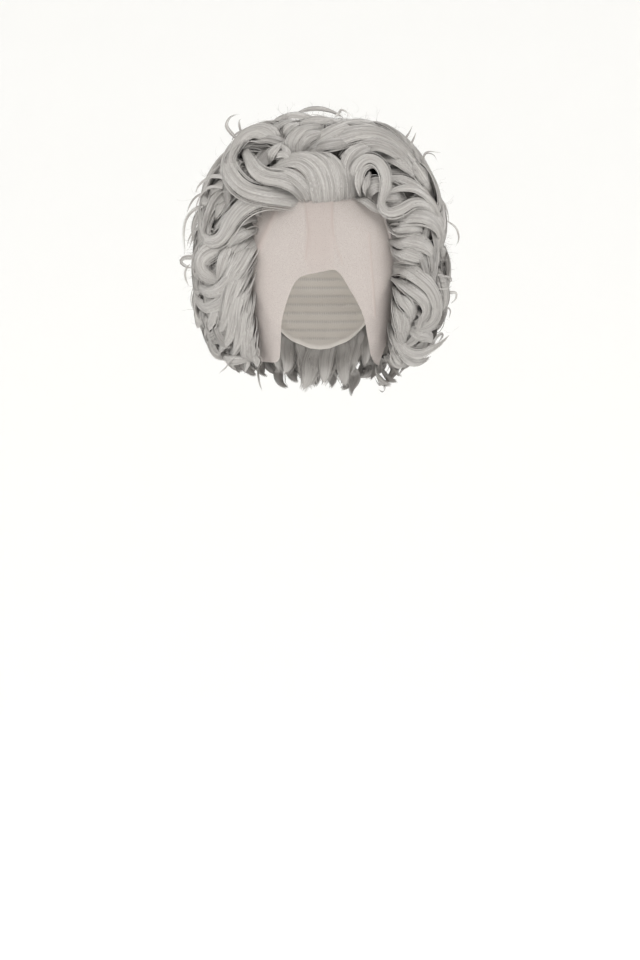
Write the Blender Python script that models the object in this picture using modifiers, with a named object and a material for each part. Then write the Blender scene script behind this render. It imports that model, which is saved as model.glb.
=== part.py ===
"""Short curly lace front wig: net cap, lace front and six groups of fused curls."""
import math
import random

import bmesh
import bpy
from mathutils import Vector

MM = 0.001

# Head that the cap fits, metres: the origin is the middle of the head
HEAD_HALF_WIDTH = 0.076
HEAD_HALF_DEPTH = 0.097
HEAD_RISE = 0.096
FORM_POWER = 2.2

# Outside of the curls, metres
HAIR_HALF_WIDTH = 0.123
HAIR_FRONT_REACH = 0.113
FACE_SIDE_REACH = 0.084
HAIR_BACK_REACH = 0.130
HAIR_RISE = 0.138
FRONT_REACH_FROM = 0.015
FRONT_REACH_TO = 0.070

# Walls and gaps, metres
CAP_WALL = 0.0015
LACE_WALL = 0.0010
HAIR_FOOT = 0.0033
SEAM_GAP = 0.0008
# Gaps cut in turn: the widest clears broad faces, the others thin tips that it would turn inside out
CUT_GAPS = (0.0008, 0.0003, 0.00005)

# Lace, metres
PLEAT_HALF_WIDTH = 0.0125
PLEAT_RISE = 0.0012
FOLD_DEPTH = 0.0012

CAP_CELLS = 14
CROWN_CELLS = 7
CROWN_EDGE = 56.5
LACE_COLUMNS = 22
LACE_ROWS = 9
LACE_SPAN = 11.0 * 90.0 / CAP_CELLS

LOCK_SIDES = 8
LOCK_SECTIONS = 12
LOCK_THICKNESS = 0.80
ROOT_TAPER = 0.75
TIP_TAPER = 0.35
CURL_STARTS = 0.35
DEPTH_SMOOTHING = 6
SWAY_DEGREES = 26.0
ROW_ROOT_LEVEL = 0.60
ROW_BODY_LEVEL = 0.90
SEED = 11
FUSING_STEP = 0.0024

# Ways of cutting, tried in turn until the cut is closed
CUT_SOLVERS = ('EXACT', 'MANIFOLD')

# Groups from the outermost layer to the innermost
GROUP_FACES = (
    # group, faces
    ("front_hair", 1220),
    ("crown_hair", 1530),
    ("left_side_hair", 1350),
    ("right_side_hair", 1350),
    ("back_hair", 1120),
    ("nape_hair", 760),
)

# Half sizes of the head below its middle
HEAD_BELOW = (
    # height, half_width, front_reach, back_reach
    (0.000, 0.076, 0.097, 0.097),
    (-0.030, 0.074, 0.097, 0.092),
    (-0.060, 0.070, 0.094, 0.078),
    (-0.080, 0.065, 0.091, 0.066),
    (-0.100, 0.057, 0.086, 0.057),
    (-0.140, 0.050, 0.080, 0.050),
)

# Half sizes of the outside of the curls below the middle of the head
HAIR_BELOW = (
    # height, half_width, front_reach, back_reach
    (0.000, 0.123, 0.084, 0.130),
    (-0.030, 0.121, 0.082, 0.129),
    (-0.060, 0.117, 0.080, 0.122),
    (-0.085, 0.108, 0.075, 0.108),
    (-0.105, 0.088, 0.066, 0.092),
    (-0.140, 0.060, 0.050, 0.070),
)

# Edge of the cap: front seam with the lace, ear tab, arch over the ear, nape
CAP_EDGE = (
    # azimuth, elevation, both in degrees
    (0.0, 54.0),
    (25.0, 50.0),
    (42.0, 38.0),
    (56.0, 12.0),
    (66.0, -12.0),
    (76.0, -18.0),
    (88.0, -8.0),
    (102.0, -2.0),
    (118.0, -9.0),
    (134.0, -27.0),
    (152.0, -44.0),
    (180.0, -52.0),
)

# Free lower edge of the lace, an arch over the middle of the face
LACE_EDGE = (
    # across, up, millimetres
    (-66.0, -84.0),
    (-60.0, -95.0),
    (-48.0, -99.0),
    (-38.0, -96.0),
    (-37.0, -62.0),
    (-30.0, -38.0),
    (-19.0, -19.0),
    (0.0, -15.0),
    (16.0, -14.0),
    (29.0, -32.0),
    (41.0, -55.0),
    (46.0, -78.0),
    (49.0, -96.0),
    (57.0, -101.0),
    (66.0, -86.0),
)

# Backing that holds the curls of each group, bent round the cap
BACKINGS = (
    # group, azimuth_from, azimuth_to, elevation_low, elevation_high, columns, rows
    ("front_hair", -60.0, 60.0, 29.0, 56.0, 12, 4),
    ("left_side_hair", -118.0, -63.0, -50.0, 56.0, 4, 8),
    ("right_side_hair", 63.0, 118.0, -50.0, 56.0, 4, 8),
    ("back_hair", 118.4, 241.6, -14.0, 56.0, 11, 6),
    ("nape_hair", 118.4, 241.6, -66.0, -14.4, 11, 4),
)
BACKING_LEVEL = 0.76
BACKING_EDGE_LEVEL = 0.26
BACKING_ROUNDING = 16.0

# Curls that frame the face, each read as five points from root to tip
FACE_CURLS = (
    # group, width, root_level, body_level, root, rise, crest, fall, tip (across, up), millimetres
    ("front_hair", 11, 0.30, 0.75, (-34, 58), (-60, 58), (-82, 70), (-86, 94), (-64, 122)),
    ("front_hair", 10, 0.30, 0.80, (-21, 57), (-42, 71), (-60, 82), (-66, 100), (-55, 113)),
    ("front_hair", 10, 0.30, 0.75, (-8, 57), (-19, 72), (-36, 80), (-48, 81), (-58, 79)),
    ("front_hair", 11, 0.30, 0.85, (1, 57), (-4, 76), (-18, 91), (-36, 90), (-49, 83)),
    ("front_hair", 12, 0.30, 0.85, (10, 57), (8, 72), (3, 88), (-7, 97), (-20, 97)),
    ("front_hair", 11, 0.30, 0.80, (20, 58), (22, 74), (17, 91), (6, 101), (-8, 103)),
    ("front_hair", 13, 0.30, 0.95, (30, 60), (32, 83), (49, 95), (66, 78), (61, 54)),
    ("front_hair", 10, 0.35, 0.85, (46, 54), (60, 66), (75, 67), (86, 59), (80, 45)),
    ("crown_hair", 14, 0.55, 0.98, (-10, 104), (18, 120), (50, 124), (82, 103), (105, 68)),
    ("crown_hair", 12, 0.55, 0.90, (18, 98), (42, 113), (66, 109), (88, 88), (104, 64)),
    ("crown_hair", 11, 0.55, 0.82, (36, 92), (56, 101), (74, 96), (90, 80), (102, 60)),
    ("crown_hair", 11, 0.55, 0.98, (-28, 98), (-29, 109), (-20, 122), (-6, 125), (8, 119)),
    ("crown_hair", 12, 0.60, 1.00, (-50, 103), (-46, 122), (-30, 134), (-12, 134), (4, 126)),
    ("crown_hair", 11, 0.60, 0.98, (-44, 96), (-54, 114), (-68, 116), (-80, 107), (-86, 92)),
    ("crown_hair", 10, 0.70, 1.00, (-24, 128), (-10, 138), (4, 139), (16, 136), (28, 128)),
    ("left_side_hair", 13, 0.30, 0.85, (-46, 58), (-72, 50), (-92, 20), (-113, 22), (-109, 52)),
    ("left_side_hair", 12, 0.55, 0.98, (-80, 78), (-104, 72), (-118, 58), (-124, 40), (-116, 26)),
    ("left_side_hair", 12, 0.40, 0.90, (-64, 44), (-72, 32), (-80, 14), (-88, -2), (-92, -18)),
    ("left_side_hair", 13, 0.55, 0.98, (-80, 18), (-98, 14), (-116, 10), (-122, -6), (-108, -18)),
    ("left_side_hair", 13, 0.55, 0.98, (-86, -2), (-102, -10), (-117, -22), (-115, -37), (-99, -37)),
    ("left_side_hair", 12, 0.55, 0.98, (-88, -22), (-104, -30), (-118, -42), (-112, -55), (-98, -50)),
    ("left_side_hair", 13, 0.50, 1.00, (-76, -20), (-88, -34), (-92, -58), (-101, -76), (-112, -64)),
    ("left_side_hair", 13, 0.45, 0.85, (-76, -12), (-80, -38), (-80, -64), (-74, -84), (-64, -94)),
    ("left_side_hair", 12, 0.50, 0.90, (-84, -58), (-91, -78), (-85, -90), (-74, -95), (-64, -93)),
    ("left_side_hair", 11, 0.50, 0.90, (-98, -58), (-106, -72), (-103, -86), (-92, -93), (-81, -90)),
    ("right_side_hair", 12, 0.50, 0.95, (72, 62), (88, 62), (104, 52), (114, 38), (116, 22)),
    ("right_side_hair", 13, 0.40, 0.90, (71, 38), (88, 43), (108, 34), (114, 16), (104, 6)),
    ("right_side_hair", 12, 0.40, 0.85, (72, 20), (86, 21), (100, 14), (108, 0), (106, -12)),
    ("right_side_hair", 14, 0.45, 1.00, (74, -8), (90, -11), (107, -28), (112, -50), (101, -64)),
    ("right_side_hair", 12, 0.40, 0.85, (74, -20), (88, -29), (99, -42), (101, -56), (92, -66)),
    ("right_side_hair", 12, 0.40, 0.75, (74, -34), (82, -46), (87, -60), (83, -74), (73, -82)),
    ("right_side_hair", 11, 0.60, 1.00, (108, 8), (122, -6), (120, -24), (108, -33), (98, -24)),
    ("right_side_hair", 11, 0.60, 1.00, (106, -38), (119, -50), (118, -65), (106, -72), (96, -64)),
    ("right_side_hair", 11, 0.45, 0.90, (80, -64), (94, -70), (106, -77), (100, -88), (87, -84)),
    ("right_side_hair", 10, 0.45, 0.85, (76, -70), (84, -86), (99, -92), (112, -86), (118, -76)),
    ("right_side_hair", 10, 0.40, 0.70, (72, -72), (72, -90), (80, -102), (90, -102), (94, -92)),
)

# Curls of the sides, top and back, set in rows as wefts are
CURL_ROWS = (
    # group, elevation, azimuth_from, azimuth_to, count, length, width
    ("crown_hair", 80.0, -60.0, 60.0, 4, 0.060, 0.020),
    ("crown_hair", 78.0, 90.0, 270.0, 5, 0.080, 0.021),
    ("crown_hair", 64.0, 78.0, 282.0, 9, 0.086, 0.021),
    ("left_side_hair", 46.0, -72.0, -112.0, 3, 0.084, 0.020),
    ("right_side_hair", 46.0, 72.0, 112.0, 3, 0.084, 0.020),
    ("left_side_hair", 22.0, -84.0, -112.0, 3, 0.080, 0.019),
    ("right_side_hair", 22.0, 84.0, 112.0, 3, 0.080, 0.019),
    ("left_side_hair", -2.0, -84.0, -112.0, 3, 0.074, 0.019),
    ("right_side_hair", -2.0, 84.0, 112.0, 3, 0.074, 0.019),
    ("left_side_hair", -26.0, -86.0, -112.0, 3, 0.062, 0.018),
    ("right_side_hair", -26.0, 86.0, 112.0, 3, 0.062, 0.018),
    ("back_hair", 48.0, 124.0, 236.0, 8, 0.084, 0.021),
    ("back_hair", 27.0, 124.0, 236.0, 8, 0.082, 0.020),
    ("back_hair", 6.0, 124.0, 236.0, 8, 0.074, 0.020),
    ("nape_hair", -16.0, 124.0, 236.0, 8, 0.066, 0.019),
    ("nape_hair", -33.0, 124.0, 236.0, 8, 0.058, 0.018),
    ("nape_hair", -48.0, 124.0, 236.0, 8, 0.050, 0.016),
    ("nape_hair", -60.0, 126.0, 234.0, 7, 0.044, 0.014),
)

# Colour, roughness and metallic value of each piece
FINISHES = (
    # node, colour, roughness, metallic
    ("cap", (0.52, 0.50, 0.47), 0.80, 0.0),
    ("lace_front", (0.62, 0.52, 0.46), 0.75, 0.0),
    ("front_hair", (0.50, 0.49, 0.48), 0.38, 0.0),
    ("crown_hair", (0.46, 0.45, 0.44), 0.38, 0.0),
    ("left_side_hair", (0.44, 0.43, 0.42), 0.38, 0.0),
    ("right_side_hair", (0.44, 0.43, 0.42), 0.38, 0.0),
    ("back_hair", (0.42, 0.41, 0.40), 0.38, 0.0),
    ("nape_hair", (0.40, 0.39, 0.38), 0.38, 0.0),
)


def blend(low, high, share):
    return low + (high - low) * share


def ease(value, start, end):
    """0 before start and 1 after end, with a smooth step between."""
    share = min(max((value - start) / (end - start), 0.0), 1.0)
    return share * share * (3.0 - 2.0 * share)


def read_table(rows, key):
    """Values of a table between its rows, whose first column rises or falls steadily."""
    order = sorted(rows)
    key = min(max(key, order[0][0]), order[-1][0])
    for lower, upper in zip(order, order[1:]):
        if key <= upper[0]:
            share = (key - lower[0]) / (upper[0] - lower[0])
            return [blend(a, b, share) for a, b in zip(lower[1:], upper[1:])]
    return list(order[-1][1:])


def front_reach(height):
    """The curls stand further forward above the brow than beside the face."""
    return blend(FACE_SIDE_REACH, HAIR_FRONT_REACH, ease(height, FRONT_REACH_FROM, FRONT_REACH_TO))


def half_sizes(height, level):
    """Half width, front and back reach at a height; level 0 is the head, 1 the outside of the curls."""
    if height < 0.0:
        inner = read_table(HEAD_BELOW, height)
        outer = read_table(HAIR_BELOW, height)
        return [blend(a, b, level) for a, b in zip(inner, outer)]
    rise = blend(HEAD_RISE, HAIR_RISE, level)
    narrowing = max(1.0 - (height / rise) ** FORM_POWER, 0.0) ** (1.0 / FORM_POWER)
    return [
        blend(HEAD_HALF_WIDTH, HAIR_HALF_WIDTH, level) * narrowing,
        blend(HEAD_HALF_DEPTH, front_reach(height), level) * narrowing,
        blend(HEAD_HALF_DEPTH, HAIR_BACK_REACH, level) * narrowing,
    ]


def rounded(value):
    """Sine or cosine of a rounded box section instead of an ellipse."""
    return math.copysign(abs(value) ** (2.0 / FORM_POWER), value)


def surface_point(azimuth, elevation, level=0.0, offset=0.0):
    """Point at an azimuth from the face and an elevation, at a level in the hair, offset outwards."""
    turn = math.radians(azimuth)
    lift = math.radians(elevation)
    if elevation < 0.0:
        height = HEAD_RISE * lift
        width, front, back = half_sizes(height, level)
        slope = 0.0
    else:
        rise = blend(HEAD_RISE, HAIR_RISE, level) + offset
        height = rise * rounded(math.sin(lift))
        narrowing = rounded(math.cos(lift))
        width = blend(HEAD_HALF_WIDTH, HAIR_HALF_WIDTH, level) * narrowing
        front = blend(HEAD_HALF_DEPTH, front_reach(height), level) * narrowing
        back = blend(HEAD_HALF_DEPTH, HAIR_BACK_REACH, level) * narrowing
        slope = 1.0 - narrowing
    grow = offset * (1.0 - slope)
    depth = front if math.cos(turn) > 0.0 else back
    across = (width + grow) * rounded(math.sin(turn))
    forward = (depth + grow) * rounded(math.cos(turn))
    return Vector((across, -forward, height))


def outward(point):
    """Direction away from the head at a point."""
    width, front, back = half_sizes(min(point.z, 0.9 * HEAD_RISE), 1.0)
    depth = front if point.y < 0.0 else back
    lift = point.z / HAIR_RISE ** 2 if point.z > 0.0 else 0.0
    return Vector((point.x / width ** 2, point.y / depth ** 2, lift)).normalized()


def clear_of_head(point, clearance):
    """Push a point out until it clears the cap and the lace."""
    if point.z > 0.0:
        width, depth, rise = (size + clearance for size in (HEAD_HALF_WIDTH, HEAD_HALF_DEPTH, HEAD_RISE))
        share = (abs(point.x) / width) ** FORM_POWER + (abs(point.y) / depth) ** FORM_POWER
        share = (share + (point.z / rise) ** FORM_POWER) ** (1.0 / FORM_POWER)
        return point / share if share < 1.0 else point
    width, front, back = (size + clearance for size in half_sizes(point.z, 0.0))
    depth = front if point.y < 0.0 else back
    share = (abs(point.x) / width) ** FORM_POWER + (abs(point.y) / depth) ** FORM_POWER
    share = share ** (1.0 / FORM_POWER)
    if share >= 1.0:
        return point
    return Vector((point.x / share, point.y / share, point.z))


def smooth_through(points, count):
    """Evenly stepped points of a smooth curve through a few guide points."""
    guides = [points[0] * 2.0 - points[1]] + list(points) + [points[-1] * 2.0 - points[-2]]
    path = []
    for step in range(count):
        place = step * (len(points) - 1) / (count - 1)
        span = min(int(place), len(points) - 2)
        t = place - span
        a, b, c, d = guides[span:span + 4]
        path.append(0.5 * (2.0 * b + (c - a) * t + (2.0 * a - 5.0 * b + 4.0 * c - d) * t ** 2
                           + (3.0 * b - a - 3.0 * c + d) * t ** 3))
    return path


def new_object(name, builder, collection):
    """Object whose mesh is what a bmesh holds, with its faces turned out."""
    bmesh.ops.recalc_face_normals(builder, faces=builder.faces)
    if builder.calc_volume(signed=True) < 0.0:
        bmesh.ops.reverse_faces(builder, faces=builder.faces)
    mesh = bpy.data.meshes.new(name)
    builder.to_mesh(mesh)
    builder.free()
    item = bpy.data.objects.new(name, mesh)
    collection.objects.link(item)
    return item


def bent_block(name, columns, rows, place, collection):
    """Grid with a second layer over it, each corner put in place by place(column, row, layer), all 0 to 1."""
    builder = bmesh.new()
    bmesh.ops.create_grid(builder, x_segments=columns, y_segments=rows, size=0.5)
    top = bmesh.ops.extrude_face_region(builder, geom=builder.faces[:])
    raised = [part for part in top["geom"] if isinstance(part, bmesh.types.BMVert)]
    bmesh.ops.translate(builder, verts=raised, vec=(0.0, 0.0, 1.0))
    for corner in builder.verts:
        corner.co = place(corner.co.x + 0.5, corner.co.y + 0.5, corner.co.z)
    return new_object(name, builder, collection)


def disc_place(column, row):
    """Distance from the middle, 0 to 1, and azimuth of a grid corner laid out as a disc."""
    across, along = 2.0 * column - 1.0, 2.0 * row - 1.0
    if abs(across) < 1e-9 and abs(along) < 1e-9:
        return 0.0, 0.0
    if abs(across) >= abs(along):
        side = 90.0 if across > 0.0 else -90.0
        return abs(across), side + 45.0 * along / across
    side = 180.0 if along > 0.0 else 0.0
    return abs(along), side - 45.0 * across / along


def cap_edge(azimuth):
    folded = abs((azimuth + 180.0) % 360.0 - 180.0)
    return read_table(CAP_EDGE, folded)[0]


def make_cap(collection):
    """Net cap: a domed cloth wall from the lace seam round the ears to the nape."""
    def place(column, row, layer):
        radius, azimuth = disc_place(column, row)
        elevation = blend(90.0, cap_edge(azimuth), radius)
        return surface_point(azimuth, elevation, offset=CAP_WALL * layer)
    return bent_block("cap", CAP_CELLS, CAP_CELLS, place, collection)


def lace_fold(across, up):
    """Rise of the lace's surface: a box pleat down the middle and soft hanging folds beside it."""
    pleat = PLEAT_RISE * (1.0 - ease(abs(across), 0.8 * PLEAT_HALF_WIDTH, 1.2 * PLEAT_HALF_WIDTH))
    hanging = ease(-up, -0.050, 0.030)
    return pleat + FOLD_DEPTH * hanging * (0.5 + 0.5 * math.cos(across / 0.0075))


def make_lace(collection):
    """Lace front: an uncut sheet from the cap's seam over the brow, its free edge arched over the face."""
    edge = smooth_through([Vector((across * MM, up * MM, 0.0)) for across, up in LACE_EDGE], LACE_COLUMNS + 1)

    def place(column, row, layer):
        number = round(column * LACE_COLUMNS)
        top_azimuth = blend(-LACE_SPAN, LACE_SPAN, column)
        top_elevation = cap_edge(top_azimuth) - math.degrees(SEAM_GAP / HEAD_RISE)
        foot = edge[number]
        width = half_sizes(foot.y, 0.0)[0]
        share = min(abs(foot.x) / width, 0.97) ** (FORM_POWER / 2.0)
        foot_azimuth = math.copysign(math.degrees(math.asin(share)), foot.x)
        foot_elevation = math.degrees(foot.y / HEAD_RISE)
        drop = 1.0 - row
        azimuth = blend(top_azimuth, foot_azimuth, drop)
        elevation = blend(top_elevation, foot_elevation, drop)
        flat = surface_point(azimuth, elevation)
        loose = ease(drop, 0.0, 0.3) * lace_fold(flat.x, flat.z)
        return surface_point(azimuth, elevation, offset=loose + LACE_WALL * layer)
    return bent_block("lace_front", LACE_COLUMNS, LACE_ROWS, place, collection)


def make_backing(row, collection):
    """Block of massed hair bent round the cap, thinner at the free edges of its group."""
    group, azimuth_from, azimuth_to, low, high, columns, rows = row

    def place(column, row, layer):
        azimuth = blend(azimuth_from, azimuth_to, column)
        elevation = blend(low, high, row)
        rounding = ease(elevation, low, low + BACKING_ROUNDING)
        if group.endswith("side_hair"):
            nearest = min(abs(azimuth_from), abs(azimuth_to))
            rounding *= ease(abs(azimuth), nearest, nearest + BACKING_ROUNDING)
        level = blend(BACKING_EDGE_LEVEL, BACKING_LEVEL, rounding)
        if layer < 0.5:
            return surface_point(azimuth, elevation, offset=HAIR_FOOT)
        return surface_point(azimuth, elevation, level)
    return bent_block(group, columns, rows, place, collection)


def make_crown_backing(collection):
    """Domed block of massed hair on top of the cap."""
    def place(column, row, layer):
        radius, azimuth = disc_place(column, row)
        elevation = blend(90.0, CROWN_EDGE, radius)
        if layer < 0.5:
            return surface_point(azimuth, elevation, offset=HAIR_FOOT)
        return surface_point(azimuth, elevation, BACKING_LEVEL)
    return bent_block("crown_hair", CROWN_CELLS, CROWN_CELLS, place, collection)


def face_curl_path(row):
    """Points of a curl beside or above the face, laid on the curved mass of hair."""
    group, width, root_level, body_level, *guides = row
    path = smooth_through([Vector((across * MM, 0.0, up * MM)) for across, up in guides], LOCK_SECTIONS)
    for step, spot in enumerate(path):
        along = step / (LOCK_SECTIONS - 1)
        level = blend(root_level, body_level, ease(along, 0.0, 0.4))
        half_width, front, _ = half_sizes(spot.z, level)
        share = min(abs(spot.x) / max(half_width, 1e-6), 1.0)
        spot.y = -front * (1.0 - share ** FORM_POWER) ** (1.0 / FORM_POWER)
    for _ in range(DEPTH_SMOOTHING):
        depths = [spot.y for spot in path]
        for step in range(1, LOCK_SECTIONS - 1):
            path[step].y = 0.25 * (depths[step - 1] + 2.0 * depths[step] + depths[step + 1])
    clearance = HAIR_FOOT + 0.5 * width * MM * LOCK_THICKNESS
    return [clear_of_head(spot, clearance) for spot in path]


def row_curl_path(azimuth, elevation, length, turn, sway):
    """Points of a curl that falls from its weft, sways and turns in at its tip."""
    step_length = length / (LOCK_SECTIONS - 1)
    path = []
    for step in range(LOCK_SECTIONS):
        along = step / (LOCK_SECTIONS - 1)
        level = blend(ROW_ROOT_LEVEL, ROW_BODY_LEVEL, ease(along, 0.0, 0.45))
        spot = surface_point(azimuth, elevation, level)
        path.append(spot)
        heading = math.radians(sway * math.sin(2.0 * math.pi * along) + turn * ease(along, CURL_STARTS, 1.0))
        radius = max(math.hypot(spot.x, spot.y), 0.03)
        drop_radius = HEAD_RISE if elevation < 0.0 else blend(HEAD_RISE, HAIR_RISE, level)
        azimuth += math.degrees(math.sin(heading) * step_length / radius)
        elevation -= math.degrees(math.cos(heading) * step_length / drop_radius)
    return path


def make_curl(path, width, collection):
    """Flattened tapering curl: a loft of ovals that lie flat on the hair under them."""
    builder = bmesh.new()
    rings = []
    for step, spot in enumerate(path):
        along = step / (len(path) - 1)
        before, after = path[max(step - 1, 0)], path[min(step + 1, len(path) - 1)]
        forward = (after - before).normalized()
        sideways = forward.cross(outward(spot)).normalized()
        up = sideways.cross(forward)
        taper = min(blend(ROOT_TAPER, 1.0, ease(along, 0.0, 0.4)), blend(1.0, TIP_TAPER, ease(along, 0.5, 1.0)))
        half_width = 0.5 * width * taper
        half_height = half_width * LOCK_THICKNESS
        ring = []
        for side in range(LOCK_SIDES):
            angle = 2.0 * math.pi * (side + 0.5) / LOCK_SIDES
            offset = sideways * (half_width * math.cos(angle)) + up * (half_height * math.sin(angle))
            ring.append(builder.verts.new(spot + offset))
        rings.append(ring)
    for ring, following in zip(rings, rings[1:]):
        for side in range(LOCK_SIDES):
            turn = (side + 1) % LOCK_SIDES
            builder.faces.new((ring[side], ring[turn], following[turn], following[side]))
    builder.faces.new(rings[0])
    builder.faces.new(rings[-1])
    return new_object("curl", builder, collection)


def curl_list():
    """Path, width and group of every curl."""
    curls = []
    for row in FACE_CURLS:
        curls.append((row[0], face_curl_path(row), row[1] * MM))
    chance = random.Random(SEED)
    for group, elevation, azimuth_from, azimuth_to, count, length, width in CURL_ROWS:
        for number in range(count):
            azimuth = blend(azimuth_from, azimuth_to, number / (count - 1)) + chance.uniform(-3.0, 3.0)
            hand = 1.0 if number % 2 else -1.0
            turn = hand * chance.uniform(165.0, 215.0)
            sway = -hand * SWAY_DEGREES * chance.uniform(0.7, 1.2)
            reach = length * chance.uniform(0.92, 1.06)
            path = row_curl_path(azimuth, elevation + chance.uniform(-3.0, 3.0), reach, turn, sway)
            curls.append((group, path, width))
    return curls


def remove_item(item):
    spent = item.data
    bpy.data.objects.remove(item)
    bpy.data.meshes.remove(spent)


def take_modified(item):
    """Replace an object's mesh by the mesh that its modifiers make, and clear them."""
    graph = bpy.context.evaluated_depsgraph_get()
    mesh = bpy.data.meshes.new_from_object(item.evaluated_get(graph))
    item.modifiers.clear()
    spent = item.data
    item.data = mesh
    bpy.data.meshes.remove(spent)


def fuse(body, curls, faces):
    """Fuse curls and their backing into one skin of about the number of faces given."""
    builder = bmesh.new()
    builder.from_mesh(body.data)
    for curl in curls:
        builder.from_mesh(curl.data)
        remove_item(curl)
    builder.to_mesh(body.data)
    builder.free()
    skin = body.modifiers.new("fuse", 'REMESH')
    skin.mode = 'VOXEL'
    skin.voxel_size = FUSING_STEP
    take_modified(body)
    thin = body.modifiers.new("thin", 'DECIMATE')
    thin.ratio = faces / (2.0 * len(body.data.polygons))
    take_modified(body)


def is_closed(mesh):
    """True if each edge of a mesh has two faces."""
    builder = bmesh.new()
    builder.from_mesh(mesh)
    closed = all(len(edge.link_faces) == 2 for edge in builder.edges)
    builder.free()
    return closed


def cut_clear(body, above, gap):
    """Cut a group back where another lies over it, leaving a gap between them."""
    tool = above.copy()
    tool.data = above.data.copy()
    body.users_collection[0].objects.link(tool)
    grow = tool.modifiers.new("grow", 'DISPLACE')
    grow.strength = gap
    grow.mid_level = 0.0
    take_modified(tool)
    whole = body.data.copy()
    for solver in CUT_SOLVERS:
        cut = body.modifiers.new("cut", 'BOOLEAN')
        cut.solver = solver
        cut.operation = 'DIFFERENCE'
        cut.object = tool
        take_modified(body)
        if is_closed(body.data):
            break
        body.data = whole.copy()
    remove_item(tool)


def keep_main_body(item):
    """Drop loose islands that a cut has left beside the main body."""
    builder = bmesh.new()
    builder.from_mesh(item.data)
    bmesh.ops.triangulate(builder, faces=builder.faces)
    waiting = set(builder.verts)
    islands = []
    while waiting:
        front = [waiting.pop()]
        island = []
        while front:
            corner = front.pop()
            island.append(corner)
            for edge in corner.link_edges:
                other = edge.other_vert(corner)
                if other in waiting:
                    waiting.remove(other)
                    front.append(other)
        islands.append(island)
    islands.sort(key=len)
    for island in islands[:-1]:
        bmesh.ops.delete(builder, geom=island, context='VERTS')
    builder.to_mesh(item.data)
    builder.free()


def make_hair(cloth, collection):
    """Each group: its backing fused with its curls, then cut clear of the cloth and the groups over it."""
    curls = curl_list()
    groups = []
    for group, faces in GROUP_FACES:
        if group == "crown_hair":
            body = make_crown_backing(collection)
        else:
            body = make_backing(next(row for row in BACKINGS if row[0] == group), collection)
        own = [make_curl(path, width, collection) for owner, path, width in curls if owner == group]
        fuse(body, own, faces)
        groups.append(body)
    whole = [(body.data.copy(), body) for body in cloth + groups]
    for place, body in enumerate(groups, start=len(cloth)):
        for uncut, above in whole[:place]:
            trimmed = above.data
            above.data = uncut
            for gap in CUT_GAPS:
                cut_clear(body, above, gap)
            above.data = trimmed
        keep_main_body(body)
    for uncut, body in whole:
        bpy.data.meshes.remove(uncut)
    return groups


def finish(item, colour, roughness, metallic):
    """Give a piece its own plain material and smooth shading."""
    material = bpy.data.materials.new(item.name)
    material.use_nodes = True
    shader = material.node_tree.nodes["Principled BSDF"]
    shader.inputs["Base Color"].default_value = (*colour, 1.0)
    shader.inputs["Roughness"].default_value = roughness
    shader.inputs["Metallic"].default_value = metallic
    item.data.materials.clear()
    item.data.materials.append(material)
    item.data.shade_smooth()
    item.data.set_sharp_from_angle(angle=math.radians(50.0))


def build_wig():
    for item in list(bpy.data.objects):
        bpy.data.objects.remove(item)
    collection = bpy.data.collections.new("lace_front_wig")
    bpy.context.scene.collection.children.link(collection)
    cloth = [make_cap(collection), make_lace(collection)]
    pieces = cloth + make_hair(cloth, collection)
    finishes = {name: values for name, *values in FINISHES}
    for piece in pieces:
        finish(piece, *finishes[piece.name])


build_wig()
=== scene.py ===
"""Looks of a short, silver-grey, curly lace front wig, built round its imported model."""
import math

import bpy
import numpy as np
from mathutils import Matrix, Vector


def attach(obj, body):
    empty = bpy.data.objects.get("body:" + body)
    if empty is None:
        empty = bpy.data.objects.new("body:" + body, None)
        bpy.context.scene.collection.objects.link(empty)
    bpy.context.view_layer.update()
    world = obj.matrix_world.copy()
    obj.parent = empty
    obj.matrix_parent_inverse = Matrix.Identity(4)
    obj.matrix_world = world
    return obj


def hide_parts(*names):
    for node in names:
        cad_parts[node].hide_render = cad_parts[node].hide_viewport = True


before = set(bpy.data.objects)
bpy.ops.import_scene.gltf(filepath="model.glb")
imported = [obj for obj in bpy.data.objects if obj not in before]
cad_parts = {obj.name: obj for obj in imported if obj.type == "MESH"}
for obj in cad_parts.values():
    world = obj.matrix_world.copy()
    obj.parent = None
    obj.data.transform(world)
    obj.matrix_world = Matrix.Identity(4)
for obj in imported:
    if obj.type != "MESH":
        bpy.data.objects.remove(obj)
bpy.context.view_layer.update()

# Studio: a white sweep under and behind the wig, which is held up at the height of a head. The
# light is soft: a bright room, a key light high in front, and weaker ones at the other sides.
CAMERA_AWAY = 3.0
CAMERA_HEIGHT = -0.212
CAMERA_LENS = 118.0
SWEEP_RADIUS = 6.0
SWEEP_FLOOR = -0.95
SWEEP_RISE = 5.0
SWEEP_HUB = 0.001
SWEEP_SPREAD = 0.8
SWEEP_FLAT = 0.4
SWEEP_RINGS = 24
SWEEP_SPOKES = 64
SWEEP_WHITE = (0.92, 0.92, 0.915, 1.0)
SWEEP_GLOW = (1.0, 0.99, 0.97, 1.0)
ROOM_COLOUR = (1.0, 0.99, 0.965, 1.0)
LIGHTS = (
    # name, place, target, size of the disc, all metres, power in watts
    ("key_light", (-0.2, -2.5, 1.6), (0.0, 0.0, 0.02), 1.3, 29.0),
    ("top_light", (0.3, 0.4, 2.4), (0.0, 0.0, 0.0), 1.4, 16.0),
    ("low_fill", (0.2, -2.6, -0.75), (0.0, 0.05, -0.08), 1.2, 18.0),
    ("left_light", (-2.4, 0.4, 0.5), (0.0, 0.0, 0.0), 1.3, 19.0),
    ("back_light", (0.0, 2.8, 1.5), (0.0, 0.0, 0.0), 1.4, 14.0),
    ("right_light", (2.4, 0.4, 0.5), (0.0, 0.0, 0.0), 1.3, 19.0),
)


def link(item):
    bpy.context.scene.collection.objects.link(item)
    return item


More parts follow.
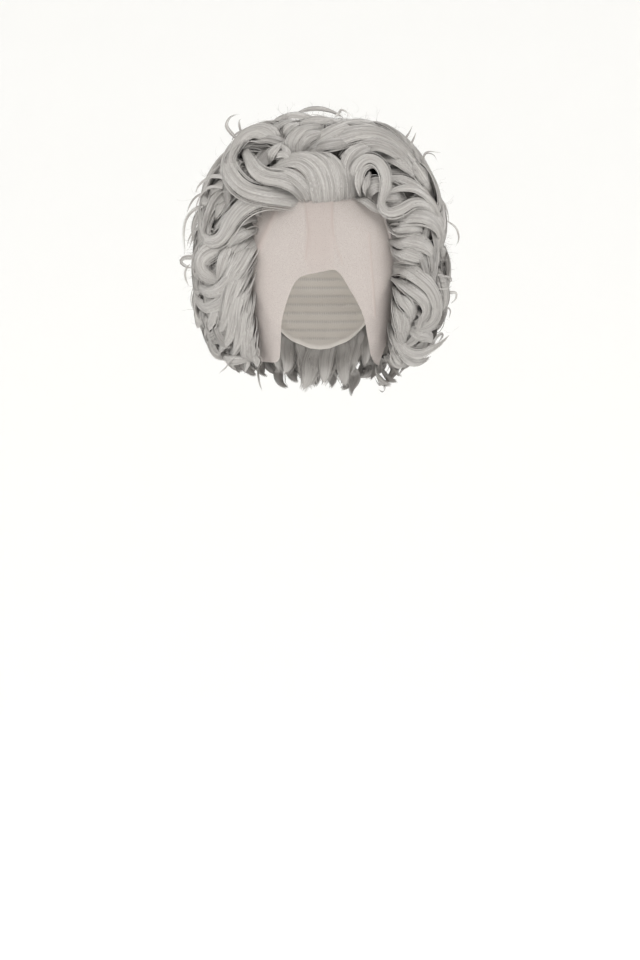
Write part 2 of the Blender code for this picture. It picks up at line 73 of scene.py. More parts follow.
def grid_faces(columns, rows, wrap=False):
    """Corner numbers of the quads of a grid whose points run row by row."""
    across = np.arange(columns if wrap else columns - 1)
    follow = (across + 1) % columns
    start = np.arange(rows - 1)[:, None] * columns
    quads = np.stack([start + across, start + follow, start + columns + follow, start + columns + across],
                     axis=-1)
    return quads.reshape(-1, 4)


def mesh_from(name, points, quads, attributes=None, uv=None):
    """Smooth-shaded mesh from arrays of points and quads, with float attributes at its points."""
    mesh = bpy.data.meshes.new(name)
    mesh.vertices.add(len(points))
    mesh.vertices.foreach_set("co", np.asarray(points, np.float32).ravel())
    mesh.loops.add(quads.size)
    mesh.loops.foreach_set("vertex_index", quads.ravel().astype(np.int32))
    mesh.polygons.add(len(quads))
    mesh.polygons.foreach_set("loop_start", np.arange(0, quads.size, 4, dtype=np.int32))
    mesh.update(calc_edges=True)
    mesh.shade_smooth()
    for key, values in (attributes or {}).items():
        layer = mesh.attributes.new(key, 'FLOAT', 'POINT')
        layer.data.foreach_set("value", np.asarray(values, np.float32).ravel())
    if uv is not None:
        layer = mesh.uv_layers.new(name="OFBake")
        layer.data.foreach_set("uv", np.asarray(uv, np.float32)[quads.ravel()].ravel())
    return link(bpy.data.objects.new(name, mesh))


def new_material(name):
    """Material with a Principled shader, its node tree and that shader."""
    material = bpy.data.materials.new(name)
    material.use_nodes = True
    tree = material.node_tree
    return material, tree, tree.nodes["Principled BSDF"]


def set_plain(node, values):
    """Sets a node's inputs, by name, to plain values."""
    for name, value in values.items():
        node.inputs[name].default_value = value


def make_sweep():
    """Round floor that bends up into a wall far behind the wig."""
    turn = np.linspace(0.0, 2.0 * math.pi, SWEEP_SPOKES, endpoint=False)
    reach = np.linspace(0.0, 1.0, SWEEP_RINGS)[:, None]
    radius = SWEEP_RADIUS * np.minimum(reach / SWEEP_SPREAD, 1.0) + SWEEP_HUB
    lift = SWEEP_RISE * np.clip((reach - SWEEP_FLAT) / (1.0 - SWEEP_FLAT), 0.0, 1.0) ** 2
    height = SWEEP_FLOOR + lift + 0.0 * turn
    points = np.stack([radius * np.cos(turn), radius * np.sin(turn), height], axis=-1)
    quads = grid_faces(SWEEP_SPOKES, SWEEP_RINGS, wrap=True)
    sweep = mesh_from("studio_sweep", points.reshape(-1, 3), quads)
    material, _, shader = new_material("studio_white")
    set_plain(shader, {"Base Color": SWEEP_WHITE, "Roughness": 0.9, "Specular IOR Level": 0.1,
                       "Emission Color": SWEEP_GLOW, "Emission Strength": 0.025})
    sweep.data.materials.append(material)


def add_area_light(name, place, target, size, power):
    lamp = bpy.data.lights.new(name, 'AREA')
    lamp.shape = 'DISK'
    lamp.size = size
    lamp.energy = power
    item = link(bpy.data.objects.new(name, lamp))
    item.location = place
    aim = Vector(target) - Vector(place)
    item.rotation_euler = aim.to_track_quat('-Z', 'Y').to_euler()


camera = link(bpy.data.objects.new("camera", bpy.data.cameras.new("camera")))
camera.location = (0.0, -CAMERA_AWAY, CAMERA_HEIGHT)
camera.rotation_euler = (math.radians(90.0), 0.0, 0.0)
camera.data.lens = CAMERA_LENS
camera.data.clip_end = 50.0
bpy.context.scene.camera = camera
bpy.context.scene.view_settings.view_transform = 'Standard'
world = bpy.data.worlds.new("white_room")
bpy.context.scene.world = world
world.use_nodes = True
set_plain(world.node_tree.nodes["Background"], {"Color": ROOM_COLOUR, "Strength": 0.95})
make_sweep()
for light in LIGHTS:
    add_area_light(*light)

# Cap: a dome of fine beige stretch net that the rest is sewn to. Wefts run round it in rows,
# and a folded tape binds its edge at the ears and the nape. Lengths are metres, turns degrees.
FORM_POWER = 2.2
HEAD_HALF_WIDTH = 0.076
HEAD_HALF_DEPTH = 0.097
HEAD_RISE = 0.096
HAIR_HALF_WIDTH = 0.123
HAIR_FRONT_REACH = 0.113
FACE_SIDE_REACH = 0.084
HAIR_BACK_REACH = 0.130
HAIR_RISE = 0.138
FRONT_REACH_FROM = 0.015
FRONT_REACH_TO = 0.070
CAP_CELLS = 96
CAP_INSIDE = 0.0002
CAP_OUTSIDE = 0.0012
CAP_EASE = 7.0
TAPE_FROM = 0.955
TAPE_TO = 0.975
SEWN_FROM = 0.80
SEWN_TO = 0.88
SEWN_TURN_FROM = 72.0
SEWN_TURN_TO = 84.0
WEFT_SPACING = 0.0085
WEFT_RISE = 0.0004
WEFT_RISE_INSIDE = 0.7
STITCH_LENGTH = 0.0024
CAP_CELLS_PER_METRE = 900.0
CAP_NET = (0.80, 0.755, 0.70)
CAP_THREAD = (0.80, 0.76, 0.71)
CAP_WEFT = (0.68, 0.65, 0.61)
CAP_TAPE = (0.74, 0.70, 0.65)
LACE_COLOUR = (0.43, 0.388, 0.368)

HEAD_BELOW = np.array((
    # height, half_width, front_reach, back_reach
    (-0.140, 0.050, 0.080, 0.050),
    (-0.100, 0.057, 0.086, 0.057),
    (-0.080, 0.065, 0.091, 0.066),
    (-0.060, 0.070, 0.094, 0.078),
    (-0.030, 0.074, 0.097, 0.092),
    (0.000, 0.076, 0.097, 0.097),
))
HAIR_BELOW = np.array((
    # height, half_width, front_reach, back_reach
    (-0.140, 0.060, 0.050, 0.070),
    (-0.105, 0.088, 0.066, 0.092),
    (-0.085, 0.108, 0.075, 0.108),
    (-0.060, 0.117, 0.080, 0.122),
    (-0.030, 0.121, 0.082, 0.129),
    (0.000, 0.123, 0.084, 0.130),
))
CAP_EDGE = np.array((
    # azimuth, elevation, degrees
    (0, 54), (25, 50), (42, 38), (56, 12), (66, -12), (76, -18),
    (88, -8), (102, -2), (118, -9), (134, -27), (152, -44), (180, -52),
))


def ease(value, start, end):
    """0 before start and 1 after end, with a smooth step between."""
    share = np.clip((value - start) / (end - start), 0.0, 1.0)
    return share * share * (3.0 - 2.0 * share)


def rounded(value):
    """Sine or cosine of a rounded box section instead of an ellipse."""
    return np.sign(value) * np.abs(value) ** (2.0 / FORM_POWER)


def signed(azimuth):
    """Azimuth as a turn of -180 to 180 degrees from the face."""
    return (azimuth + 180.0) % 360.0 - 180.0


def hair_front(height):
    """How far the hair reaches forward: little beside the face and far over the brow."""
    swept = ease(height, FRONT_REACH_FROM, FRONT_REACH_TO)
    return FACE_SIDE_REACH + (HAIR_FRONT_REACH - FACE_SIDE_REACH) * swept


def half_sizes(height, level):
    """Half width, front and back reach at heights; level 0 is the head, 1 the outside of the curls."""
    height, level = np.broadcast_arrays(np.asarray(height, float), np.asarray(level, float))
    rise = HEAD_RISE + (HAIR_RISE - HEAD_RISE) * level
    share = np.clip(height / rise, 0.0, 1.0)
    narrowing = np.clip(1.0 - share ** FORM_POWER, 0.0, 1.0) ** (1.0 / FORM_POWER)
    outer = (HAIR_HALF_WIDTH, hair_front(height), HAIR_BACK_REACH)
    inner = (HEAD_HALF_WIDTH, HEAD_HALF_DEPTH, HEAD_HALF_DEPTH)
    sizes = []
    for column in range(3):
        above = (inner[column] + (outer[column] - inner[column]) * level) * narrowing
        low_in = np.interp(height, HEAD_BELOW[:, 0], HEAD_BELOW[:, column + 1])
        low_out = np.interp(height, HAIR_BELOW[:, 0], HAIR_BELOW[:, column + 1])
        sizes.append(np.where(height < 0.0, low_in + (low_out - low_in) * level, above))
    return sizes


def surface_points(azimuth, elevation, level=0.0, offset=0.0):
    """Points at azimuths from the face and elevations, at a level in the hair, offset outwards."""
    azimuth, elevation, level, offset = np.broadcast_arrays(
        *(np.asarray(value, float) for value in (azimuth, elevation, level, offset)))
    turn, lift = np.radians(azimuth), np.radians(elevation)
    above = elevation >= 0.0
    rise = HEAD_RISE + (HAIR_RISE - HEAD_RISE) * level + offset
    height = np.where(above, rise * rounded(np.sin(lift)), HEAD_RISE * lift)
    narrowing = np.where(above, rounded(np.cos(lift)), 1.0)
    low = half_sizes(np.minimum(height, 0.0), level)
    high = [(HEAD_HALF_WIDTH + (HAIR_HALF_WIDTH - HEAD_HALF_WIDTH) * level) * narrowing,
            (HEAD_HALF_DEPTH + (hair_front(height) - HEAD_HALF_DEPTH) * level) * narrowing,
            (HEAD_HALF_DEPTH + (HAIR_BACK_REACH - HEAD_HALF_DEPTH) * level) * narrowing]
    width, front, back = (np.where(above, a, b) for a, b in zip(high, low))
    depth = np.where(np.cos(turn) > 0.0, front, back)
    grow = offset * narrowing
    across = (width + grow) * rounded(np.sin(turn))
    return np.stack([across, -(depth + grow) * rounded(np.cos(turn)), height], axis=-1)


def cap_edge(azimuth):
    """Elevation of the cap's edge, with its corners eased."""
    total = 0.0
    for shift in (-CAP_EASE, 0.0, CAP_EASE):
        folded = np.abs(signed(azimuth + shift))
        total = total + np.interp(folded, CAP_EDGE[:, 0], CAP_EDGE[:, 1])
    return total / 3.0


def disc_grid(cells):
    """Distance from the middle and azimuth of the corners of a square grid laid out as a disc."""
    steps = np.linspace(-1.0, 1.0, cells + 1)
    across, along = np.meshgrid(steps, steps)
    reach = np.maximum(np.abs(across), np.abs(along))
    sideways = np.abs(across) >= np.abs(along)
    turn_side = np.where(across > 0.0, 90.0, -90.0) + 45.0 * along / np.where(across == 0.0, 1.0, across)
    turn_end = np.where(along > 0.0, 180.0, 0.0) - 45.0 * across / np.where(along == 0.0, 1.0, along)
    return reach, np.where(sideways, turn_side, turn_end)


def thick_sheet(outer, inner, columns, rows):
    """Points and outward quads of a closed sheet with two faces and a rim."""
    count = columns * rows
    faces = grid_faces(columns, rows)
    rim = np.concatenate([np.arange(columns), np.arange(2, rows + 1) * columns - 1,
                          np.arange(count - 2, count - columns - 1, -1),
                          np.arange(rows - 2, 0, -1) * columns])
    follow = np.roll(rim, -1)
    wall = np.stack([follow, rim, rim + count, follow + count], axis=-1)
    return np.concatenate([outer, inner]), np.concatenate([faces, faces[:, ::-1] + count, wall])


def make_cap():
    reach, azimuth = disc_grid(CAP_CELLS)
    edge = cap_edge(azimuth)
    elevation = 90.0 + (edge - 90.0) * reach
    drop = np.radians(90.0 - elevation) * HEAD_RISE
    rim = ease(reach, TAPE_FROM, TAPE_TO)
    ridge = np.abs(np.sin(math.pi * drop / WEFT_SPACING)) ** 6
    outer = surface_points(azimuth, elevation, offset=CAP_OUTSIDE + WEFT_RISE * (ridge + rim))
    bulge = WEFT_RISE * (WEFT_RISE_INSIDE * ridge + rim)
    inner = surface_points(azimuth, elevation, offset=CAP_INSIDE - bulge)
    side = CAP_CELLS + 1
    points, quads = thick_sheet(outer.reshape(-1, 3), inner.reshape(-1, 3), side, side)
    sewn = ease(reach, SEWN_FROM, SEWN_TO) * (1.0 - ease(np.abs(azimuth), SEWN_TURN_FROM, SEWN_TURN_TO))
    around = np.radians(azimuth) * HEAD_HALF_DEPTH
    drop, rim, around, sewn = (np.tile(values.ravel(), 2) for values in (drop, rim, around, sewn))
    values = {"drop": drop, "rim": rim * (1.0 - sewn), "round": around, "sewn": sewn}
    return mesh_from("cap_net", points, quads, values)


def math_node(tree, operation, first, second=None):
    """Math node fed by sockets or plain numbers; gives its output socket."""
    node = tree.nodes.new("ShaderNodeMath")
    node.operation = operation
    for place, value in enumerate((first, second)):
        if isinstance(value, bpy.types.NodeSocket):
            tree.links.new(value, node.inputs[place])
        elif value is not None:
            node.inputs[place].default_value = value
    return node.outputs[0]


def mix_colours(tree, share, first, second):
    """Mixed colour; share, first and second are sockets or plain values."""
    node = tree.nodes.new("ShaderNodeMix")
    node.data_type = 'RGBA'
    for place, value in ((0, share), (6, first), (7, second)):
        if isinstance(value, bpy.types.NodeSocket):
            tree.links.new(value, node.inputs[place])
        elif place == 0:
            node.inputs[place].default_value = value
        else:
            node.inputs[place].default_value = (*value, 1.0)
    return node.outputs[2]


def attribute_value(tree, name):
    node = tree.nodes.new("ShaderNodeAttribute")
    node.attribute_name = name
    return node.outputs["Fac"]


def add_bump(tree, shader, height, strength, distance):
    """Surface relief of a material from a height."""
    bump = tree.nodes.new("ShaderNodeBump")
    set_plain(bump, {"Strength": strength, "Distance": distance})
    tree.links.new(height, bump.inputs["Height"])
    tree.links.new(bump.outputs["Normal"], shader.inputs["Normal"])


def net_group():
    """Fine net: a mask of its threads, from its cells a metre and the width of a thread."""
    group = bpy.data.node_groups.new("fine_net", 'ShaderNodeTree')
    for name, way in (("Cells per metre", 'INPUT'), ("Thread", 'INPUT'), ("Threads", 'OUTPUT')):
        group.interface.new_socket(name, in_out=way, socket_type='NodeSocketFloat')
    given = group.nodes.new("NodeGroupInput")
    result = group.nodes.new("NodeGroupOutput")
    place = group.nodes.new("ShaderNodeTexCoord")
    cells = group.nodes.new("ShaderNodeTexVoronoi")
    cells.feature = 'DISTANCE_TO_EDGE'
    group.links.new(place.outputs["Object"], cells.inputs["Vector"])
    group.links.new(given.outputs["Cells per metre"], cells.inputs["Scale"])
    inside = math_node(group, 'DIVIDE', cells.outputs["Distance"], given.outputs["Thread"])
    threads = math_node(group, 'SUBTRACT', 1.0, inside)
    clipped = math_node(group, 'MAXIMUM', threads, 0.0)
    group.links.new(clipped, result.inputs["Threads"])
    return group


fine_net = net_group()


def place_net(tree, cells, thread):
    node = tree.nodes.new("ShaderNodeGroup")
    node.node_tree = fine_net
    set_plain(node, {"Cells per metre": cells, "Thread": thread})
    return node.outputs["Threads"]


def cap_material():
    material, tree, shader = new_material("cap_net")
    threads = place_net(tree, CAP_CELLS_PER_METRE, 0.35)
    wave = math_node(tree, 'MULTIPLY', attribute_value(tree, "drop"), math.pi / WEFT_SPACING)
    band = math_node(tree, 'POWER', math_node(tree, 'ABSOLUTE', math_node(tree, 'SINE', wave)), 5.0)
    stitches = math_node(tree, 'MULTIPLY', attribute_value(tree, "round"), 2.0 * math.pi / STITCH_LENGTH)
    dots = math_node(tree, 'MULTIPLY', math_node(tree, 'SINE', stitches), band)
    ground = mix_colours(tree, math_node(tree, 'MULTIPLY', threads, 0.35), CAP_NET, CAP_THREAD)
    woven = mix_colours(tree, math_node(tree, 'MULTIPLY', band, 0.8), ground, CAP_WEFT)
    bound = mix_colours(tree, attribute_value(tree, "rim"), woven, CAP_TAPE)
    laced = mix_colours(tree, attribute_value(tree, "sewn"), bound, LACE_COLOUR)
    tree.links.new(laced, shader.inputs["Base Color"])
    height = math_node(tree, 'ADD', math_node(tree, 'MULTIPLY', threads, 0.4),
                       math_node(tree, 'ADD', band, math_node(tree, 'MULTIPLY', dots, 0.4)))
    add_bump(tree, shader, height, 0.5, WEFT_RISE)
    rough = math_node(tree, 'SUBTRACT', 0.88, math_node(tree, 'MULTIPLY', band, 0.15))
    tree.links.new(rough, shader.inputs["Roughness"])
    return material


cap = make_cap()
cap.data.materials.append(cap_material())
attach(cap, "root")
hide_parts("cap")

# Lace front: one uncut sheet of sheer beige net, sewn over the front edge of the cap. It lies on
# the forehead, falls over the brow and cheeks with a box pleat down its middle, and ends raw.
# Lengths are metres, turns degrees, and its openness is the opacity of its cells and threads.
LACE_COLUMNS = 180
LACE_ROWS = 120
LACE_SPAN = 74.0
LACE_LAP = 3.2
LACE_LAP_RISE = 0.0022
PLEAT_HALF_WIDTH = 0.0125
PLEAT_RISE = 0.0008
PLEAT_FADE_FROM = -0.040
PLEAT_FADE_TO = 0.010
FACE_HALF_WIDTH = 0.074
LACE_LIFT = 0.0004
HANG_FROM = -0.045
HANG_TO = 0.040
FOLD_DEPTH = 0.0012
FOLD_LENGTH = 0.0085
FINE_FOLD_LENGTH = 0.0041
CREASE_RISE = 0.0008
CREASE_FADE = 0.006
LACE_CELLS_PER_METRE = 850.0
LACE_OPEN = 0.62
LACE_CLOSED = 0.90
LACE_MOST = 0.96
LACE_DENSE = (0.38, 0.327, 0.305)
LACE_EDGE = np.array((
    # across, up, millimetres
    (-69, -84), (-62, -95), (-48, -99), (-39, -97), (-37, -80), (-36, -60),
    (-30, -38), (-20, -20), (0, -14), (16, -13), (29, -32), (40, -54),
    (45, -78), (49, -96), (58, -101), (69, -86),
)) * 0.001


def smooth_through(guides, count):
    """Evenly stepped points of a smooth curve through a few guide points."""
    guides = np.asarray(guides, float)
    padded = np.concatenate([[2.0 * guides[0] - guides[1]], guides, [2.0 * guides[-1] - guides[-2]]])
    place = np.linspace(0.0, len(guides) - 1.0, count)
    span = np.minimum(place.astype(int), len(guides) - 2)
    t = (place - span)[:, None]
    a, b, c, d = (padded[span + step] for step in range(4))
    return 0.5 * (2.0 * b + (c - a) * t + (2.0 * a - 5.0 * b + 4.0 * c - d) * t ** 2
                  + (3.0 * b - a - 3.0 * c + d) * t ** 3)


def evenly(path, count):
    """Points of a path at equal steps of its length."""
    steps = np.linalg.norm(np.diff(path, axis=0), axis=1)
    length = np.concatenate([[0.0], np.cumsum(steps)])
    want = np.linspace(0.0, length[-1], count)
    return np.stack([np.interp(want, length, path[:, axis]) for axis in range(path.shape[1])], axis=-1)


def true_place(seen, depth):
    """Across and up of points at a depth that, from in front, line up with points at y = 0."""
    nearer = 1.0 + np.asarray(depth)[..., None] / CAMERA_AWAY
    return (seen - (0.0, CAMERA_HEIGHT)) * nearer + (0.0, CAMERA_HEIGHT)


def near_line(across, up, guides, width):
    """Closeness, 0 to 1, of points of the lace to a line given as (across, up) rows in metres."""
    guides = np.asarray(guides)
    centre = np.interp(up, guides[::-1, 1], guides[::-1, 0])
    top, foot = guides[0, 1], guides[-1, 1]
    inside = ease(up, foot - CREASE_FADE, foot) * (1.0 - ease(up, top, top + CREASE_FADE))
    return np.exp(-((across - centre) / width) ** 2) * inside


LACE_CREASES = (
    # guides from top to bottom (across, up), width, all metres
    (((-0.014, 0.046), (-0.010, 0.018), (-0.013, -0.006)), 0.0011),
    (((0.011, 0.046), (0.011, 0.024), (0.014, 0.006), (0.020, -0.010)), 0.0010),
    (((0.045, 0.014), (0.047, -0.014), (0.050, -0.058)), 0.0011),
    (((-0.040, 0.040), (-0.049, 0.020), (-0.058, 0.000)), 0.0035),
)


def make_lace():
    edge = evenly(smooth_through(LACE_EDGE, 400), LACE_COLUMNS + 1)
    bulge = np.clip(1.0 - (edge[:, 0] / FACE_HALF_WIDTH) ** 2, 0.0, 1.0) ** 0.5
    edge = true_place(edge, -HEAD_HALF_DEPTH * bulge)
    side = np.linspace(-1.0, 1.0, LACE_COLUMNS + 1)
    top_azimuth = LACE_SPAN * side
    top_elevation = cap_edge(top_azimuth) + LACE_LAP
    foot_width = half_sizes(edge[:, 1], 0.0)[0]
    share = np.minimum(np.abs(edge[:, 0]) / foot_width, 0.97) ** (FORM_POWER / 2.0)
    foot_azimuth = np.sign(edge[:, 0]) * np.degrees(np.arcsin(share))
    foot_elevation = np.degrees(edge[:, 1] / HEAD_RISE)
    drop = np.linspace(0.0, 1.0, LACE_ROWS + 1)[:, None]
    azimuth = top_azimuth + (foot_azimuth - top_azimuth) * drop
    elevation = top_elevation + (foot_elevation - top_elevation) * drop
    flat = surface_points(azimuth, elevation)
    across, up = flat[..., 0], flat[..., 2]
    pleat = 1.0 - ease(np.abs(across), 0.92 * PLEAT_HALF_WIDTH, 1.08 * PLEAT_HALF_WIDTH)
    pleat = pleat * ease(up, PLEAT_FADE_FROM, PLEAT_FADE_TO)
    hanging = ease(-up, HANG_FROM, HANG_TO)
    folds = (0.5 + 0.35 * np.cos(across / FOLD_LENGTH + 0.6)
             + 0.15 * np.cos(across / FINE_FOLD_LENGTH + up / 0.03))
    crease = sum(near_line(across, up, guides, width) for guides, width in LACE_CREASES)
    loose = ease(drop, 0.03, 0.3)
    lap = LACE_LAP_RISE * (1.0 - ease(cap_edge(azimuth) - elevation, -0.4, 2.0))
    relief = PLEAT_RISE * pleat + FOLD_DEPTH * hanging * folds + CREASE_RISE * crease
    offset = LACE_LIFT + lap + loose * relief
    points = surface_points(azimuth, elevation, offset=offset)
    dense = np.clip(0.55 * pleat + 0.8 * crease + 0.25 * hanging * folds, 0.0, 1.0)
    quads = grid_faces(LACE_COLUMNS + 1, LACE_ROWS + 1)[:, ::-1]
    return mesh_from("lace_sheet", points.reshape(-1, 3), quads, {"dense": dense})


def lace_material():
    material, tree, shader = new_material("beige_lace")
    threads = place_net(tree, LACE_CELLS_PER_METRE, 0.5)
    dense = attribute_value(tree, "dense")
    closed = math_node(tree, 'MULTIPLY', dense, 0.22)
    net = math_node(tree, 'MULTIPLY', threads, LACE_CLOSED - LACE_OPEN)
    alpha = math_node(tree, 'ADD', math_node(tree, 'ADD', net, LACE_OPEN), closed)
    tree.links.new(math_node(tree, 'MINIMUM', alpha, LACE_MOST), shader.inputs["Alpha"])
    colour = mix_colours(tree, dense, LACE_COLOUR, LACE_DENSE)
    tree.links.new(colour, shader.inputs["Base Color"])
    set_plain(shader, {"Roughness": 0.75, "Specular IOR Level": 0.2})
    add_bump(tree, shader, threads, 0.25, 0.0003)
    return material


lace = make_lace()
lace.data.materials.append(lace_material())
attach(lace, "root")
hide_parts("lace_front")

# Hair: silver-grey curls, sewn to the cap in wefts. Each lock is a smooth core with strands laid
# over it, which gather to the tip. Locks lie one over another, the deepest first. A level is 0 on
# the head and 1 on the outside of the curls; lengths are metres unless a table says millimetres.
# Shade deep in the hair is painted into its colour: locks lower down get a darker tone, and a
# painted depth shade value darkens them further.
CORE_SIDES = 12
LOCK_STEPS = 18
STRAND_STEPS = 0.75
STRAND_WIDTH = 0.0008
STRAND_TONES = 0.14
STRAND_LIFT = (0.92, 1.12)
LOCK_DEPTH = 0.30
CORE_SHARE = 0.86
CORE_SHUT = 0.03
ROOT_WIDTH = 0.38
LACE_ROOT_WIDTH = 1.1
CLUMPS = 6
GATHER = 0.4
STRAYS = 0.25
UNDERSIDE = 0.14
CURL_TIP = 0.28
MAP_SPLIT = 0.62
MAP_CELL = {"core": 4.0, "strand": 8.0}
SEED = 20
STREAKS_ACROSS = 1400.0
STREAKS_ALONG = 16.0
# Share of a lock's painted depth shade value that darkens its colour, as painted shade.
DEEP_SHADE = 0.42
HAIR_DARK = (0.205, 0.194, 0.184)
HAIR_MIDDLE = (0.300, 0.285, 0.270)
HAIR_LIGHT = (0.440, 0.422, 0.402)

rng = np.random.default_rng(SEED)


class Bank:
    """Arrays of the locks and strands of one hair piece, until they're joined into one mesh."""

    def __init__(self):
        self.points, self.quads, self.values, self.cells, self.count = [], [], [], [], 0

    def add(self, points, tone, across, along, depth_shade, kind):
        """Adds sheets of points, shaped (sheets, steps, columns, 3), with values of the same shape."""
        shape = points.shape[:3]
        sheets, steps, columns = shape
        quads = grid_faces(columns, steps)
        starts = self.count + np.arange(sheets)[:, None, None] * steps * columns
        self.quads.append((quads[None] + starts).reshape(-1, 4))
        self.points.append(points.reshape(-1, 3))
        spread = [np.broadcast_to(values, shape) for values in (tone, across, along, depth_shade)]
        self.values.append(np.stack(spread, axis=-1).reshape(-1, 4))
        side = np.broadcast_to(np.linspace(0.04, 0.96, columns), shape)
        length = np.broadcast_to(np.linspace(0.02, 0.98, steps)[:, None], shape)
        number = np.broadcast_to(np.arange(sheets)[:, None, None], shape)
        self.cells.append((kind, sheets, np.stack([length, side, number], axis=-1).reshape(-1, 3)))
        self.count += points[..., 0].size

    def uv(self):
        """A cell of the map for each core, above, and for each strand, below."""
        totals = {kind: sum(cell[1] for cell in self.cells if cell[0] == kind) for kind in MAP_CELL}
        used = dict.fromkeys(MAP_CELL, 0)
        maps = []
        for kind, sheets, local in self.cells:
            number = local[:, 2] + used[kind]
            used[kind] += sheets
            columns = math.ceil(math.sqrt(totals[kind] / MAP_CELL[kind]))
            rows = math.ceil(totals[kind] / columns)
            low, high = (MAP_SPLIT, 1.0) if kind == "core" else (0.0, MAP_SPLIT)
            u = (number % columns + local[:, 0]) / columns
            v = low + (high - low) * (np.floor(number / columns) + local[:, 1]) / rows
            maps.append(np.stack([u, v], axis=-1))
        return np.concatenate(maps)

    def build(self, name):
        keys = ("tone", "across", "along", "depth_shade")
        attributes = dict(zip(keys, np.concatenate(self.values).T))
        points, quads = np.concatenate(self.points), np.concatenate(self.quads)
        return mesh_from(name, points, quads, attributes, self.uv())


def unit(vectors):
    return vectors / np.maximum(np.linalg.norm(vectors, axis=-1, keepdims=True), 1e-9)


def softened(values, rounds):
    """Values smoothed along their first axis, with their ends kept."""
    values = values.copy()
    for _ in range(rounds):
        values[1:-1] = 0.25 * values[:-2] + 0.5 * values[1:-1] + 0.25 * values[2:]
    return values


def outward_at(points):
    """Direction away from the head."""
    middle = np.zeros_like(points)
    middle[..., 2] = np.clip(points[..., 2], -0.14, 0.01)
    return unit(points - middle)


def lock_frame(path, roll, facing=0.0):
    """Sides and normals along a path; facing turns the flat of the lock to the front."""
    tangent = unit(np.gradient(path, axis=0))
    outward = unit(outward_at(path) + np.array((0.0, -facing, 0.0)))
    normal = unit(outward - np.sum(outward * tangent, axis=-1, keepdims=True) * tangent)
    normal = softened(normal, 4)
    normal = unit(normal - np.sum(normal * tangent, axis=-1, keepdims=True) * tangent)
    side = np.cross(tangent, normal)
    turn = roll[:, None]
    return side * np.cos(turn) + normal * np.sin(turn), normal * np.cos(turn) - side * np.sin(turn)


def bend_limit(path):
    """Largest half width that doesn't fold over itself on the inside of a bend."""
    tangent = unit(np.gradient(path, axis=0))
    step = np.linalg.norm(np.gradient(path, axis=0), axis=-1)
    bend = np.linalg.norm(np.gradient(tangent, axis=0), axis=-1) / np.maximum(step, 1e-6)
    return softened(0.8 / np.maximum(bend, 1.0), 3)


